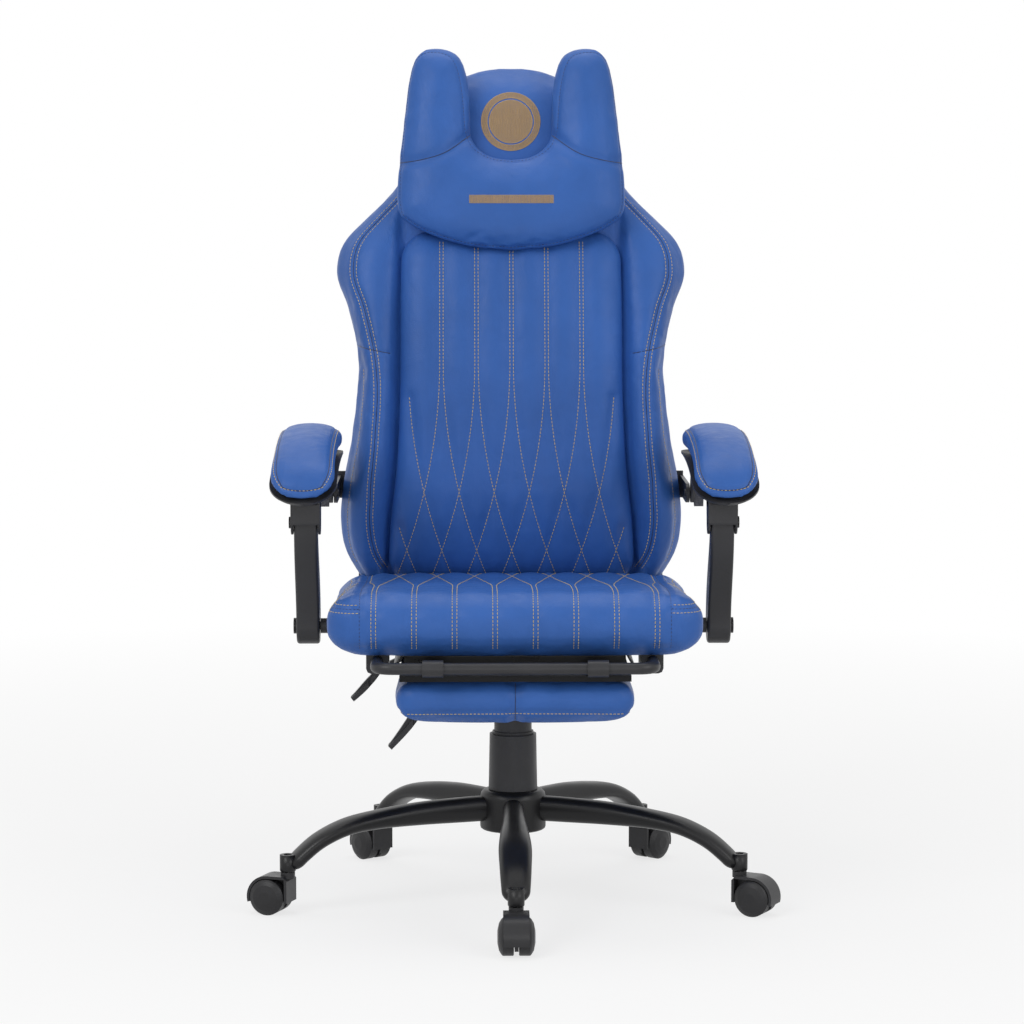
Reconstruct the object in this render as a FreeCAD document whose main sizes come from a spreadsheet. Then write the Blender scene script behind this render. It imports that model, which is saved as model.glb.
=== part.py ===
"""Gaming chair with linked armrests, a reclining back and a fold-out footrest.

Millimetres. The floor is z = 0, the gas column stands on the origin, the chair
faces -Y and its right-hand side, seen from the front, is +X.
"""
import FreeCAD, Part
import math
import os
import Sketcher
from FreeCAD import Placement, Rotation, Vector

# Driving dimensions: name, value in millimetres or degrees, meaning.
SIZES = (
    ("leg_reach", 330, "column axis to caster stem axis"),
    ("socket_foot", 60, "height of the leg's foot above the floor"),
    ("hub_radius", 46.5, "outer radius of the star base's hub"),
    ("hub_foot", 100, "height of the hub's underside"),
    ("hub_top", 158, "height of the hub's top"),
    ("tube_radius", 24, "outer radius of the gas spring's outer tube"),
    ("tube_wall", 3, "wall of the outer tube"),
    ("tube_top", 235, "top of the outer tube"),
    ("lift_radius", 14, "outer radius of the gas cylinder"),
    ("lift_foot", 150, "lowest point of the gas cylinder"),
    ("lift_top", 334, "top of the gas cylinder"),
    ("rod_radius", 5, "piston rod radius"),
    ("rod_top", 290, "top of the piston on the rod"),
    ("cover_radius", 34.5, "radius of the lowest cover at its foot"),
    ("cover_top", 237, "top of the lowest cover"),
    ("middle_radius", 29, "radius of the middle cover"),
    ("upper_radius", 26.5, "radius of the upper cover"),
    ("cover_wall", 1.6, "wall of the telescopic covers"),
    ("stem_radius", 5.5, "caster stem radius"),
    ("wheel_radius", 25, "caster wheel radius"),
    ("wheel_face", 25, "middle of the caster to a wheel's outer face"),
    ("wheel_gap", 3.5, "middle of the caster to a wheel's inner face"),
    ("caster_trail", 25, "stem axis to axle"),
    ("axle_radius", 3, "caster axle radius"),
    ("hood_half", 17.3, "half the hood's width"),
    ("hood_wall", 3.8, "wall of the hood"),
    ("deck", 381.7, "top of the pressed tray under the seat"),
    ("tray_sheet", 2.5, "sheet of the pressed tray"),
    ("tray_half", 151, "half the tray's flat top"),
    ("tray_flare", 14, "how far the tray's skirts flare outwards"),
    ("tray_depth", 26.7, "height of the tray's skirts"),
    ("tray_front", 205, "column axis to the tray's front edge"),
    ("tray_back", 150, "column axis to the tray's rear edge"),
    ("box_half", 55, "half the mechanism box's width"),
    ("box_foot", 328, "underside of the mechanism box"),
    ("box_front", 55, "column axis to the mechanism's front wall"),
    ("box_back", 120, "column axis to the mechanism's rear wall"),
    ("bolt_x", 80, "half the mechanism bolts' spacing across"),
    ("bolt_y", 99, "half the mechanism bolts' spacing front to back"),
    ("rail_half", 226, "outer face of a seat side rail"),
    ("rail_size", 25, "side of the square seat tubes"),
    ("rail_front", 175, "column axis to the rails' front end"),
    ("rail_back", 184, "column axis to the rails' rear end"),
    ("board", 9, "thickness of the seat board"),
    ("seat_half", 255, "half the seat cushion's width"),
    ("seat_front", 262, "column axis to the cushion's front face"),
    ("seat_back", 183, "column axis to the cushion's rear face"),
    ("seat_rise", 82, "cushion height at the front above its underside"),
    ("guide_in", 171.3, "inner face of a footrest guide"),
    ("guide_out", 200.8, "outer face of a footrest guide"),
    ("guide_foot", 352, "underside of a footrest guide"),
    ("guide_back", 115, "column axis to the guides' rear face"),
    ("bar_radius", 8, "footrest tube radius"),
    ("bar_half", 186, "middle plane to a side leg of the footrest tube"),
    ("bar_height", 369, "height of the footrest tube's axis"),
    ("bar_front", 275, "column axis to the footrest's cross bar"),
    ("bar_back", 110, "column axis to the side legs' rear ends"),
    ("bar_bend", 22, "bend radius of the footrest tube"),
    ("rest_half", 163, "half the footrest pad's width"),
    ("rest_deep", 194, "footrest pad from front to back"),
    ("rest_foot", 296, "underside of the stowed footrest pad"),
    ("rest_board", 8, "thickness of the footrest's board"),
    ("post_foot_y", -70, "y of the armrest post's lower pivot"),
    ("post_foot_z", 400, "height of the armrest post's lower pivot"),
    ("post_lean", -60, "upper pivot in front of the lower one"),
    ("post_rise", 150, "upper pivot above the lower one"),
    ("hinge_y", 200, "y of the recline hinge"),
    ("hinge_z", 415, "height of the recline hinge"),
    ("post_in", 268.5, "inner face of an armrest post"),
    ("post_out", 300.5, "outer face of an armrest post"),
    ("post_eye", 14, "radius of a post's upper end"),
    ("post_heel", 25, "radius of a post's lower end"),
    ("pivot_radius", 6, "radius of the posts' lower pivot bolts"),
    ("pin_radius", 5, "radius of the armrests' hinge pins"),
    ("pad_in", 242, "inner side of an arm pad"),
    ("pad_out", 331, "outer side of an arm pad"),
    ("lug_in", 252, "inner face of the strap beside the back"),
    ("strap", 5, "thickness of straps and rear arm plates"),
    ("back_half", 258, "half the back's width at the shoulders"),
    ("panel_proud", 19, "how far the middle panel stands proud"),
    ("back_board", 12, "thickness of the back's board"),
    ("horn_top", 1205, "height of the head pillow's horns"),
    ("pillow_thick", 58, "thickness of the head pillow"),
    ("play", 0.08, "radial play of a running fit"),
    ("gap", 0.3, "clearance between pieces that move past each other"),
)

RIM = 0.5          # clearance between soft pieces and what they lie on
LEGS = 5
LEG_ANGLES = [-90 + 360 / LEGS * index for index in range(LEGS)]
TRAIL_ANGLES = (-90, -27.7, 49.5, 129.7, 159.5)   # where each caster trails at rest
SIDES = (("left", -1), ("right", 1))

doc = FreeCAD.newDocument("gaming_chair")
sheet = doc.addObject("Spreadsheet::Sheet", "Sizes")
finished = []


def fill_sheet():
    for row, (alias, value, meaning) in enumerate(SIZES, start=1):
        sheet.set(f"A{row}", meaning)
        sheet.set(f"B{row}", str(value))
        sheet.setAlias(f"B{row}", alias)
    doc.recompute()


def size(alias):
    return float(sheet.get(alias))


def cell(text):
    """An expression from words: each word that names a size reads its cell."""
    names = {alias for alias, _, _ in SIZES}
    words = str(text).replace("(", "( ").replace(")", " )").split()
    return " ".join(f"Sizes.{word}" if word in names else word for word in words)


def finish(item, name):
    item.Label = name
    finished.append(item)
    return item


# ---- small modelling helpers ------------------------------------------------

def box(name, x, y, z):
    item = doc.addObject("Part::Box", name)
    for prop, axis, (low, high) in zip(("Length", "Width", "Height"), "xyz", (x, y, z)):
        item.setExpression(prop, cell(f"{high} - ( {low} )"))
        item.setExpression(f"Placement.Base.{axis}", cell(low))
    return item


TURN = {"x": Rotation(Vector(0, 1, 0), 90), "y": Rotation(Vector(1, 0, 0), -90), "z": Rotation()}


def rod(name, radius, axis, span, centre):
    """A cylinder along an axis; centre holds its two other coordinates in order."""
    item = doc.addObject("Part::Cylinder", name)
    item.Placement = Placement(Vector(), TURN[axis])
    low, high = span
    item.setExpression("Radius", cell(radius))
    item.setExpression("Height", cell(f"{high} - ( {low} )"))
    item.setExpression(f"Placement.Base.{axis}", cell(low))
    for other, value in zip([letter for letter in "xyz" if letter != axis], centre):
        item.setExpression(f"Placement.Base.{other}", cell(value))
    return item


def fuse(name, items):
    item = doc.addObject("Part::MultiFuse", name)
    item.Shapes = items
    item.Refine = True
    return item


def cut(name, base, tools):
    item = doc.addObject("Part::Cut", name)
    item.Base = base
    item.Tool = tools[0] if len(tools) == 1 else fuse(f"{name}_tools", tools)
    return item


def group(name, items):
    item = doc.addObject("Part::Compound", name)
    item.Links = items
    return item


def span_for(side, low, high):
    """The X span of a piece on one side, from its inner and outer faces."""
    if side > 0:
        return str(low), str(high)
    return f"-1 * ( {high} )", f"-1 * ( {low} )"


def origin_plane(body, role):
    return next(item for item in body.Origin.OriginFeatures if item.Role == role)


def polygon_sketch(body, role, points, offset="0"):
    """A closed polygon whose corners sit on coordinates read from the sheet."""
    sketch = body.newObject("Sketcher::SketchObject", f"{body.Name}_sketch")
    sketch.AttachmentSupport = [(origin_plane(body, role), "")]
    sketch.MapMode = "FlatFace"
    sketch.setExpression("AttachmentOffset.Base.z", cell(offset))
    count = len(points)
    start = [Vector(10 * math.cos(2 * math.pi * k / count), 10 * math.sin(2 * math.pi * k / count), 0)
             for k in range(count)]
    sketch.addGeometry([Part.LineSegment(start[k], start[(k + 1) % count]) for k in range(count)])
    for k in range(count):
        sketch.addConstraint(Sketcher.Constraint("Coincident", k, 2, (k + 1) % count, 1))
    for k, (across, up) in enumerate(points):
        for kind, value, number in (("DistanceX", across, start[k].x), ("DistanceY", up, start[k].y)):
            index = sketch.addConstraint(Sketcher.Constraint(kind, -1, 1, k, 1, number))
            sketch.setExpression(f"Constraints[{index}]", cell(value))
    return sketch


def prism(name, role, points, span):
    """A PartDesign pad of a polygon, from span[0] to span[1] along the plane's normal."""
    body = doc.addObject("PartDesign::Body", name)
    sketch = polygon_sketch(body, role, points, span[0])
    pad = body.newObject("PartDesign::Pad", f"{name}_pad")
    pad.Profile = sketch
    pad.setExpression("Length", cell(f"{span[1]} - ( {span[0]} )"))
    body.Tip = pad
    return body


def turned(name, points):
    """A PartDesign revolution about Z of a profile given as radius and height."""
    body = doc.addObject("PartDesign::Body", name)
    sketch = polygon_sketch(body, "XZ_Plane", points)
    turn = body.newObject("PartDesign::Revolution", f"{name}_turn")
    turn.Profile = sketch
    turn.ReferenceAxis = (sketch, ["V_Axis"])
    turn.Angle = 360
    body.Tip = turn
    return body


def shaped(name, shape, placement=None):
    """A Part::Feature for a shape that only Part's own functions make."""
    item = doc.addObject("Part::Feature", name)
    item.Shape = shape
    if placement is not None:
        item.Placement = placement
    return item


def sleeve(name, outer, inner, low, high):
    return turned(name, [(inner, low), (outer, low), (outer, high), (inner, high)])


# ---- star base and casters --------------------------------------------------

LEG_SECTIONS = (   # distance from the column, half width, underside, top
    (30, 14.5, 114.5, 151), (150, 17, 112.6, 146), (225, 23, 113.2, 135.5),
    (262, 23, 108, 127), (300, 20, 88, 105), (324, 19, 60, 87), (344, 17, 60, 62),
)
LEG_DRAWN_FOR = 330   # leg_reach that the sections are drawn for
LEG_BEVEL = 0.3       # corner bevel as a share of the section's smaller half
LEG_SHEET = 3         # wall of the legs, which are open underneath
SOCKET_RADIUS = 10
SOCKET_RISE = 23


def leg_section(reach, half, low, high):
    bevel = LEG_BEVEL * min(half, (high - low) / 2) * 2
    corners = [(-half, low + bevel / 3), (-half + bevel / 3, low), (half - bevel / 3, low),
               (half, low + bevel / 3), (half, high - bevel), (half - bevel, high),
               (-half + bevel, high), (-half, high - bevel)]
    points = [Vector(x, -reach, z) for x, z in corners]
    return Part.makePolygon(points + points[:1])


def leg_channel_section(reach, half, low, high):
    inner, top = half - LEG_SHEET, high - LEG_SHEET - 2
    points = [Vector(x, -reach, z) for x, z in ((-inner, low - 30), (inner, low - 30), (inner, top), (-inner, top))]
    return Part.makePolygon(points + points[:1])


def star_leg():
    stretch = size("leg_reach") / LEG_DRAWN_FOR
    lift = size("socket_foot") - LEG_SECTIONS[-1][2]
    sections = [(r * stretch, half, low + lift, high + lift) for r, half, low, high in LEG_SECTIONS]
    leg = Part.makeLoft([leg_section(*row) for row in sections], True, True)
    hollow = [(max(row[0], size("hub_radius") + 6),) + row[1:] for row in sections[:-1]]
    leg = leg.cut(Part.makeLoft([leg_channel_section(*row) for row in hollow], True, True))
    socket = Part.makeCylinder(SOCKET_RADIUS, SOCKET_RISE, Vector(0, -size("leg_reach"), size("socket_foot")))
    bore = Part.makeCylinder(size("stem_radius") + size("play"), SOCKET_RISE - 1,
                             Vector(0, -size("leg_reach"), size("socket_foot")))
    return leg.fuse(socket), bore


def star_base():
    hub = turned("hub_ring", [
        ("tube_radius + play", "hub_foot"), ("tube_radius + 4", "hub_foot"),
        ("tube_radius + 4", "hub_top - 8"), ("hub_radius - 4", "hub_top - 12"), ("hub_radius - 4", "hub_foot"),
        ("hub_radius", "hub_foot"), ("hub_radius", "hub_top - 10"),
        ("hub_radius - 2.5", "hub_top - 4"), ("hub_radius - 7.5", "hub_top"),
        ("tube_radius + play", "hub_top")])
    doc.recompute()
    leg, bore = star_leg()
    legs = [leg.copy().rotated(Vector(), Vector(0, 0, 1), angle + 90) for angle in LEG_ANGLES]
    bores = [bore.copy().rotated(Vector(), Vector(0, 0, 1), angle + 90) for angle in LEG_ANGLES]
    column = Part.makeCylinder(size("tube_radius") + size("play"), size("hub_top"))
    inside = Part.makeCylinder(size("hub_radius") - 4, size("hub_top") - size("hub_foot") - 14,
                               Vector(0, 0, size("hub_foot") - 1))
    inside = inside.cut(Part.makeCylinder(size("tube_radius") + 4, size("hub_top")))
    star = hub.Shape.multiFuse(legs).cut(Part.makeCompound(bores + [column, inside])).removeSplitter()
    finish(shaped("star_base", star), "star_base")


def caster_place(index):
    reach, angle = size("leg_reach"), math.radians(LEG_ANGLES[index])
    spot = Vector(reach * math.cos(angle), reach * math.sin(angle), 0)
    return Placement(spot, Rotation(Vector(0, 0, 1), TRAIL_ANGLES[index]))


def caster_parts():
    """Stem, hood and wheels on their axle, with the stem on the origin and the axle towards +X."""
    trail, radius, half = size("caster_trail"), size("wheel_radius"), size("hood_half")
    wall, foot, gap = size("hood_wall"), size("socket_foot"), size("gap")
    inner = radius + 4 * gap
    outer = inner + wall
    axle = Vector(trail, 0, radius)
    top = radius + outer
    lip = math.radians(-15)

    def arc_point(reach, turn):
        return Vector(trail + reach * math.cos(turn), 0, radius + reach * math.sin(turn))

    front = trail - radius - 4 * gap
    shell = Part.Wire([
        Part.LineSegment(Vector(front - wall, 0, 18), Vector(front - wall, 0, top - 6)).toShape(),
        Part.LineSegment(Vector(front - wall, 0, top - 6), Vector(front - wall + 6, 0, top)).toShape(),
        Part.LineSegment(Vector(front - wall + 6, 0, top), Vector(trail, 0, top)).toShape(),
        Part.Arc(Vector(trail, 0, top), arc_point(outer, math.pi / 4), arc_point(outer, lip)).toShape(),
        Part.LineSegment(arc_point(outer, lip), arc_point(inner, lip)).toShape(),
        Part.Arc(arc_point(inner, lip), arc_point(inner, math.pi / 4), Vector(trail, 0, top - wall)).toShape(),
        Part.LineSegment(Vector(trail, 0, top - wall), Vector(front, 0, top - wall)).toShape(),
        Part.LineSegment(Vector(front, 0, top - wall), Vector(front, 0, 18)).toShape(),
        Part.LineSegment(Vector(front, 0, 18), Vector(front - wall, 0, 18)).toShape()])
    hood = Part.Face(shell).extrude(Vector(0, 2 * half, 0)).translated(Vector(0, -half, 0))
    web_half = size("wheel_gap") - 3 * gap
    web = Part.makeCylinder(inner + 1, 2 * web_half, axle - Vector(0, web_half, 0), Vector(0, 1, 0))
    web_front = Part.makeBox(trail - front, 2 * web_half, top - 18 - wall / 2, Vector(front - 1, -web_half, 18))
    web = web.cut(Part.makeBox(4 * radius, 4 * radius, 22, Vector(-radius, -2 * radius, -12)))
    neck = Part.makeCylinder(SOCKET_RADIUS, foot - gap - top + wall, Vector(0, 0, top - wall))
    hood = hood.fuse([web, web_front, neck])
    stem_hole = Part.makeCylinder(size("stem_radius"), foot, Vector(0, 0, top - wall - 0.1))
    axle_hole = Part.makeCylinder(size("axle_radius") + size("play"), 4 * half,
                                  axle - Vector(0, 2 * half, 0), Vector(0, 1, 0))
    hood = hood.cut(Part.makeCompound([stem_hole, axle_hole])).removeSplitter()
    stem = Part.makeCylinder(size("stem_radius"), foot + SOCKET_RISE - 2 - (top - wall),
                             Vector(0, 0, top - wall))

    face, inside = size("wheel_face"), size("wheel_gap")
    tread = face - 5
    bore = size("axle_radius")
    profile = Part.makePolygon([Vector(x, 0, z) for x, z in (
        (0, inside), (radius - 1, inside), (radius, inside + 1), (radius, tread - 2), (radius - 2, tread),
        (radius * 0.72, face - 2), (radius * 0.35, face), (0, face), (0, inside))])
    wheel = Part.Face(profile).revolve(Vector(), Vector(0, 0, 1), 360)
    wheel = wheel.cut(Part.makeCylinder(bore + 0.05, tread - inside - 1, Vector(0, 0, inside)))
    wheel.rotate(Vector(), Vector(1, 0, 0), -90)
    other = wheel.mirror(Vector(), Vector(0, 1, 0))
    wheels = [wheel.translated(axle), other.translated(axle)]
    pin = Part.makeCylinder(bore, 2 * (tread - 1), axle - Vector(0, tread - 1, 0), Vector(0, 1, 0))
    return {"caster_stem": stem, "caster_hood": hood, "caster_wheels": Part.makeCompound(wheels + [pin])}


def casters():
    parts = caster_parts()
    for index in range(LEGS):
        for name, shape in parts.items():
            label = f"{name}_{index + 1}"
            finish(shaped(label, shape.copy(), caster_place(index)), label)


# ---- gas column -------------------------------------------------------------

def gas_column():
    tube = turned("gas_spring_tube", [
        ("rod_radius + gap", "hub_foot - 4"), ("tube_radius", "hub_foot - 4"),
        ("tube_radius", "tube_top"), ("tube_radius - tube_wall", "tube_top"),
        ("tube_radius - tube_wall", "hub_foot"), ("rod_radius + gap", "hub_foot")])
    finish(tube, "gas_spring_tube")
    finish(sleeve("guide_bush", "tube_radius - tube_wall - 0.05", "lift_radius + play",
                  "tube_top - 35", "tube_top + 1"), "guide_bush")
    finish(sleeve("thrust_bearing", "rod_radius + 6", "rod_radius + gap",
                  "hub_foot + 0.05", "hub_foot + 4.6"), "thrust_bearing")
    finish(turned("piston_rod", [
        ("0", "hub_foot - 3"), ("rod_radius", "hub_foot - 3"), ("rod_radius", "hub_foot + 4.7"),
        ("rod_radius + 4", "hub_foot + 4.7"), ("rod_radius + 4", "hub_foot + 8"),
        ("rod_radius", "hub_foot + 8"), ("rod_radius", "rod_top - 8"),
        ("lift_radius - 2.6", "rod_top - 8"), ("lift_radius - 2.6", "rod_top"), ("0", "rod_top")]),
        "piston_rod")
    finish(turned("gas_cylinder", [
        ("rod_radius + play", "lift_foot"), ("lift_radius", "lift_foot"), ("lift_radius", "lift_top"),
        ("4.2", "lift_top"), ("4.2", "lift_top - 13"), ("0", "lift_top - 13"), ("0", "lift_top - 34"),
        ("lift_radius - 2.5", "lift_top - 34"), ("lift_radius - 2.5", "lift_foot + 8"),
        ("rod_radius + play", "lift_foot + 8")]), "gas_cylinder")
    finish(rod("valve_pin", "4", "z", ("lift_top - 8", "lift_top + 6.5"), ("0", "0")), "valve_pin")


def column_covers():
    finish(turned("lower_cover", [
        ("cover_radius - 2", "hub_top + gap"), ("cover_radius", "hub_top + gap"),
        ("cover_radius - 1.5", "cover_top"), ("middle_radius + gap", "cover_top"),
        ("middle_radius + gap", "cover_top - 3"), ("cover_radius - 3.5", "cover_top - 3")]), "lower_cover")
    finish(turned("middle_cover", [
        ("middle_radius - cover_wall", "hub_top + 2"), ("middle_radius", "hub_top + 2"),
        ("middle_radius", "cover_top + 4"), ("upper_radius + gap", "cover_top + 4"),
        ("upper_radius + gap", "cover_top + 1"), ("middle_radius - cover_wall", "cover_top + 1")]),
        "middle_cover")
    finish(turned("upper_cover", [
        ("upper_radius - cover_wall", "hub_top + 6"), ("upper_radius", "hub_top + 6"),
        ("upper_radius", "box_foot - gap"), ("lift_radius + play", "box_foot - gap"),
        ("lift_radius + play", "box_foot - 2.3"), ("upper_radius - cover_wall", "box_foot - 2.3")]),
        "upper_cover")


# ---- tilt mechanism and levers ----------------------------------------------

LEVER_Y = -30         # y of the height lever
RECLINE_Y = 70        # y of the recline lever
LEVER_Z = 345         # height of both levers' pivots
LIFT_PIVOT_X = -22
RECLINE_PIVOT_X = -40
PIVOT_RADIUS = 3


def mechanism():
    shell = box("box_outside", ("-1 * box_half", "box_half"), ("-1 * box_front", "box_back"),
                ("box_foot", "deck - tray_sheet - 4.3"))
    plate = box("box_plate", ("-1 * bolt_x - 15", "bolt_x + 15"), ("-1 * bolt_y - 16", "bolt_y + 25"),
                ("deck - tray_sheet - 4.3", "deck - tray_sheet - 0.3"))
    collar = rod("box_collar", "lift_radius + 7", "z", ("box_foot + 1", "box_foot + 7"), ("0", "0"))
    inside = box("box_inside", ("-1 * box_half + 3", "box_half - 3"), ("-1 * box_front + 3", "box_back - 3"),
                 ("box_foot + 3", "deck - tray_sheet - 4.3"))
    hollow = cut("box_hollow", shell, [inside])
    tools = [rod("box_bore", "lift_radius + play", "z", ("box_foot - 1", "box_foot + 8"), ("0", "0"))]
    for label, y in (("lift", LEVER_Y), ("recline", RECLINE_Y)):
        tools.append(box(f"{label}_window", ("-1 * box_half - 1", "-1 * box_half + 4"),
                         (str(y - 9), str(y + 9)), (str(LEVER_Z - 14), str(LEVER_Z + 20))))
    for index, (x, y) in enumerate((x, y) for x in (-1, 1) for y in (-1, 1)):
        tools.append(rod(f"box_hole_{index}", "4.3", "z", ("deck - 10", "deck"),
                         (f"{x} * bolt_x", f"{y} * bolt_y")))
    finish(cut("mechanism_box", fuse("box_body", [hollow, plate, collar]), tools), "mechanism_box")
    pins = [rod("lift_pin", PIVOT_RADIUS, "y", ("-1 * box_front + 3", str(LEVER_Y + 7)),
                (LIFT_PIVOT_X, LEVER_Z)),
            rod("recline_pin", PIVOT_RADIUS, "y", (str(RECLINE_Y - 7), "box_back - 3"),
                (RECLINE_PIVOT_X, LEVER_Z))]
    finish(group("lever_pins", pins), "lever_pins")


def ribbon(points, half, width, y):
    """A bent bar in the XZ plane: half its thickness each side of a Bezier line."""
    line = Part.BezierCurve()
    line.setPoles([Vector(x, 0, z) for x, z in points])
    steps = [k / 12 for k in range(13)]
    upper, lower = [], []
    for step in steps:
        here, along = line.value(step), line.tangent(step)[0]
        side = Vector(-along.z, 0, along.x) * half
        upper.append(here + side)
        lower.append(here - side)
    edges = []
    for run in (upper, lower[::-1]):
        curve = Part.BSplineCurve()
        curve.interpolate(run)
        edges.append(curve.toShape())
    edges.insert(1, Part.makeLine(upper[-1], lower[-1]))
    edges.append(Part.makeLine(lower[0], upper[0]))
    return Part.Face(Part.Wire(edges)).extrude(Vector(0, width, 0)).translated(Vector(0, y - width / 2, 0))


LIFT_LEVER = ((-26, 345), (-85, 352), (-120, 315), (-136, 270), (-173, 223))
LIFT_PADDLE = ((-120, 290), (-136, 262), (-148, 248), (-173, 223))
RECLINE_LEVER = ((-44, 345), (-120, 343), (-185, 346), (-200, 305), (-229, 276))
RECLINE_PADDLE = ((-190, 318), (-202, 300), (-212, 290), (-229, 276))


def lever_shape(bar, paddle, pivot_x, inner_x, y):
    arm = ribbon(bar, 3.6, 10, y)
    blade = ribbon(paddle, 3.4, 24, y)
    notch = Part.makeCylinder(5, 20, Vector(paddle[1][0], y - 14, paddle[1][1] - 10))
    eye = Part.makeCylinder(7, 10, Vector(pivot_x, y - 5, LEVER_Z), Vector(0, 1, 0))
    tongue = Part.makeBox(inner_x - pivot_x, 8, 8, Vector(pivot_x, y - 4, LEVER_Z - 4))
    bore = Part.makeCylinder(PIVOT_RADIUS + size("play"), 12, Vector(pivot_x, y - 6, LEVER_Z), Vector(0, 1, 0))
    return arm.fuse([blade.cut(notch), eye, tongue]).cut(bore).removeSplitter()


def levers():
    lift = lever_shape(LIFT_LEVER, LIFT_PADDLE, LIFT_PIVOT_X, LIFT_PIVOT_X + 12, LEVER_Y)
    finger = Part.makeBox(14, -LEVER_Y + 8, 8, Vector(LIFT_PIVOT_X + 12, LEVER_Y - 4, LEVER_Z - 4))
    finish(shaped("height_lever", lift.fuse(finger).removeSplitter()), "height_lever")
    recline = lever_shape(RECLINE_LEVER, RECLINE_PADDLE, RECLINE_PIVOT_X, RECLINE_PIVOT_X + 14, RECLINE_Y)
    finish(shaped("recline_lever", recline), "recline_lever")


# ---- seat -------------------------------------------------------------------

def seat_frame():
    top = "deck + 0.3 + rail_size"
    foot = "deck + 0.3"
    pieces = []
    for index, (low, high) in enumerate((("-1 * rail_front", "-1 * rail_front + rail_size"),
                                         ("-1 * bolt_y - rail_size / 2", "-1 * bolt_y + rail_size / 2"),
                                         ("bolt_y - rail_size / 2", "bolt_y + rail_size / 2"))):
        pieces.append(box(f"cross_tube_{index}", ("-1 * rail_half", "rail_half"), (low, high), (foot, top)))
    ear_out = "rail_half - 7"
    ear_in = "rail_half - 13"
    for label, side in SIDES:
        pieces.append(box(f"rail_{label}", span_for(side, "rail_half - rail_size", "rail_half"),
                          ("-1 * rail_front", "rail_back"), (foot, top)))
        pieces.append(rod(f"boss_{label}", "pivot_radius + 4.5", "x",
                          span_for(side, "rail_half - 2", "post_in - 1"), ("post_foot_y", "post_foot_z")))
        pieces.append(prism(f"ear_{label}", "YZ_Plane", [
            ("rail_back - 45", foot), ("rail_back", foot), ("hinge_y + 12", "hinge_z - 9"),
            ("hinge_y - 4", "hinge_z + 14.5"), ("hinge_y - 13", "hinge_z + 7"), ("rail_back - 1", top),
            ("rail_back - 45", top)],
            span_for(side, ear_in, ear_out)))
        pieces.append(rod(f"ear_eye_{label}", "15", "x", span_for(side, ear_in, ear_out),
                          ("hinge_y", "hinge_z")))
    tools = []
    for label, side in SIDES:
        tools.append(rod(f"ear_bore_{label}", "pivot_radius + 0.02", "x",
                         span_for(side, "rail_half - 20", "rail_half"), ("hinge_y", "hinge_z")))
        tools.append(rod(f"boss_bore_{label}", "pivot_radius + 0.02", "x",
                         span_for(side, "rail_half + 8", "post_in"), ("post_foot_y", "post_foot_z")))
    for index, (x, y) in enumerate((x, y) for x in (-1, 1) for y in (-1, 1)):
        tools.append(rod(f"frame_hole_{index}", "4.3", "z", ("deck", "deck + 21"),
                         (f"{x} * bolt_x", f"{y} * bolt_y")))
    finish(cut("seat_frame", fuse("frame_weldment", pieces), tools), "seat_frame")


def seat_tray():
    tray = prism("tray_profile", "XZ_Plane", [
        ("-1 * tray_half", "deck"), ("tray_half", "deck"), ("tray_half + tray_flare", "deck - tray_depth"),
        ("tray_half + tray_flare - tray_sheet", "deck - tray_depth"),
        ("tray_half - 1.7", "deck - tray_sheet"), ("-1 * tray_half + 1.7", "deck - tray_sheet"),
        ("-1 * tray_half - tray_flare + tray_sheet", "deck - tray_depth"),
        ("-1 * tray_half - tray_flare", "deck - tray_depth")], ("-1 * tray_back", "tray_front"))
    holes = [rod(f"tray_hole_{index}", "4.3", "z", ("deck - 5", "deck + 1"),
                 (f"{x} * bolt_x", f"{y} * bolt_y"))
             for index, (x, y) in enumerate((x, y) for x in (-1, 1) for y in (-1, 1))]
    finish(cut("seat_tray", tray, holes), "seat_tray")


def seat_bolts():
    bolts = []
    for index, (x, y) in enumerate((x, y) for x in (-1, 1) for y in (-1, 1)):
        spot = (f"{x} * bolt_x", f"{y} * bolt_y")
        shank = rod(f"bolt_shank_{index}", "4", "z", ("deck - 8", "deck + 19"), spot)
        head = rod(f"bolt_head_{index}", "6.5", "z", ("deck - 12", "deck - 7"), spot)
        bolts.append(fuse(f"bolt_{index}", [shank, head]))
    finish(group("seat_bolts", bolts), "seat_bolts")


def rounded_wire(half, low, high, radius, place):
    """A rounded rectangle, centred across; place turns flat points into the section's plane."""
    r = min(radius, half - 1, (high - low) / 2 - 0.5)
    mid = r * (1 - math.sqrt(0.5))
    edges = []
    corners = (((half - r, low), (half - mid, low + mid), (half, low + r)),
               ((half, high - r), (half - mid, high - mid), (half - r, high)),
               ((-half + r, high), (-half + mid, high - mid), (-half, high - r)),
               ((-half, low + r), (-half + mid, low + mid), (-half + r, low)))
    for index, (start, middle, end) in enumerate(corners):
        edges.append(Part.Arc(place(*start), place(*middle), place(*end)).toShape())
        edges.append(Part.makeLine(place(*end), place(*corners[(index + 1) % 4][0])))
    return Part.Wire(edges)


def cushion(sections, place_at):
    """A ruled loft through rounded rectangles: each section is (station, half, low, high, radius)."""
    wires = [rounded_wire(half, low, high, radius, place_at(station))
             for station, half, low, high, radius in sections]
    return Part.makeLoft(wires, True, True)


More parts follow.
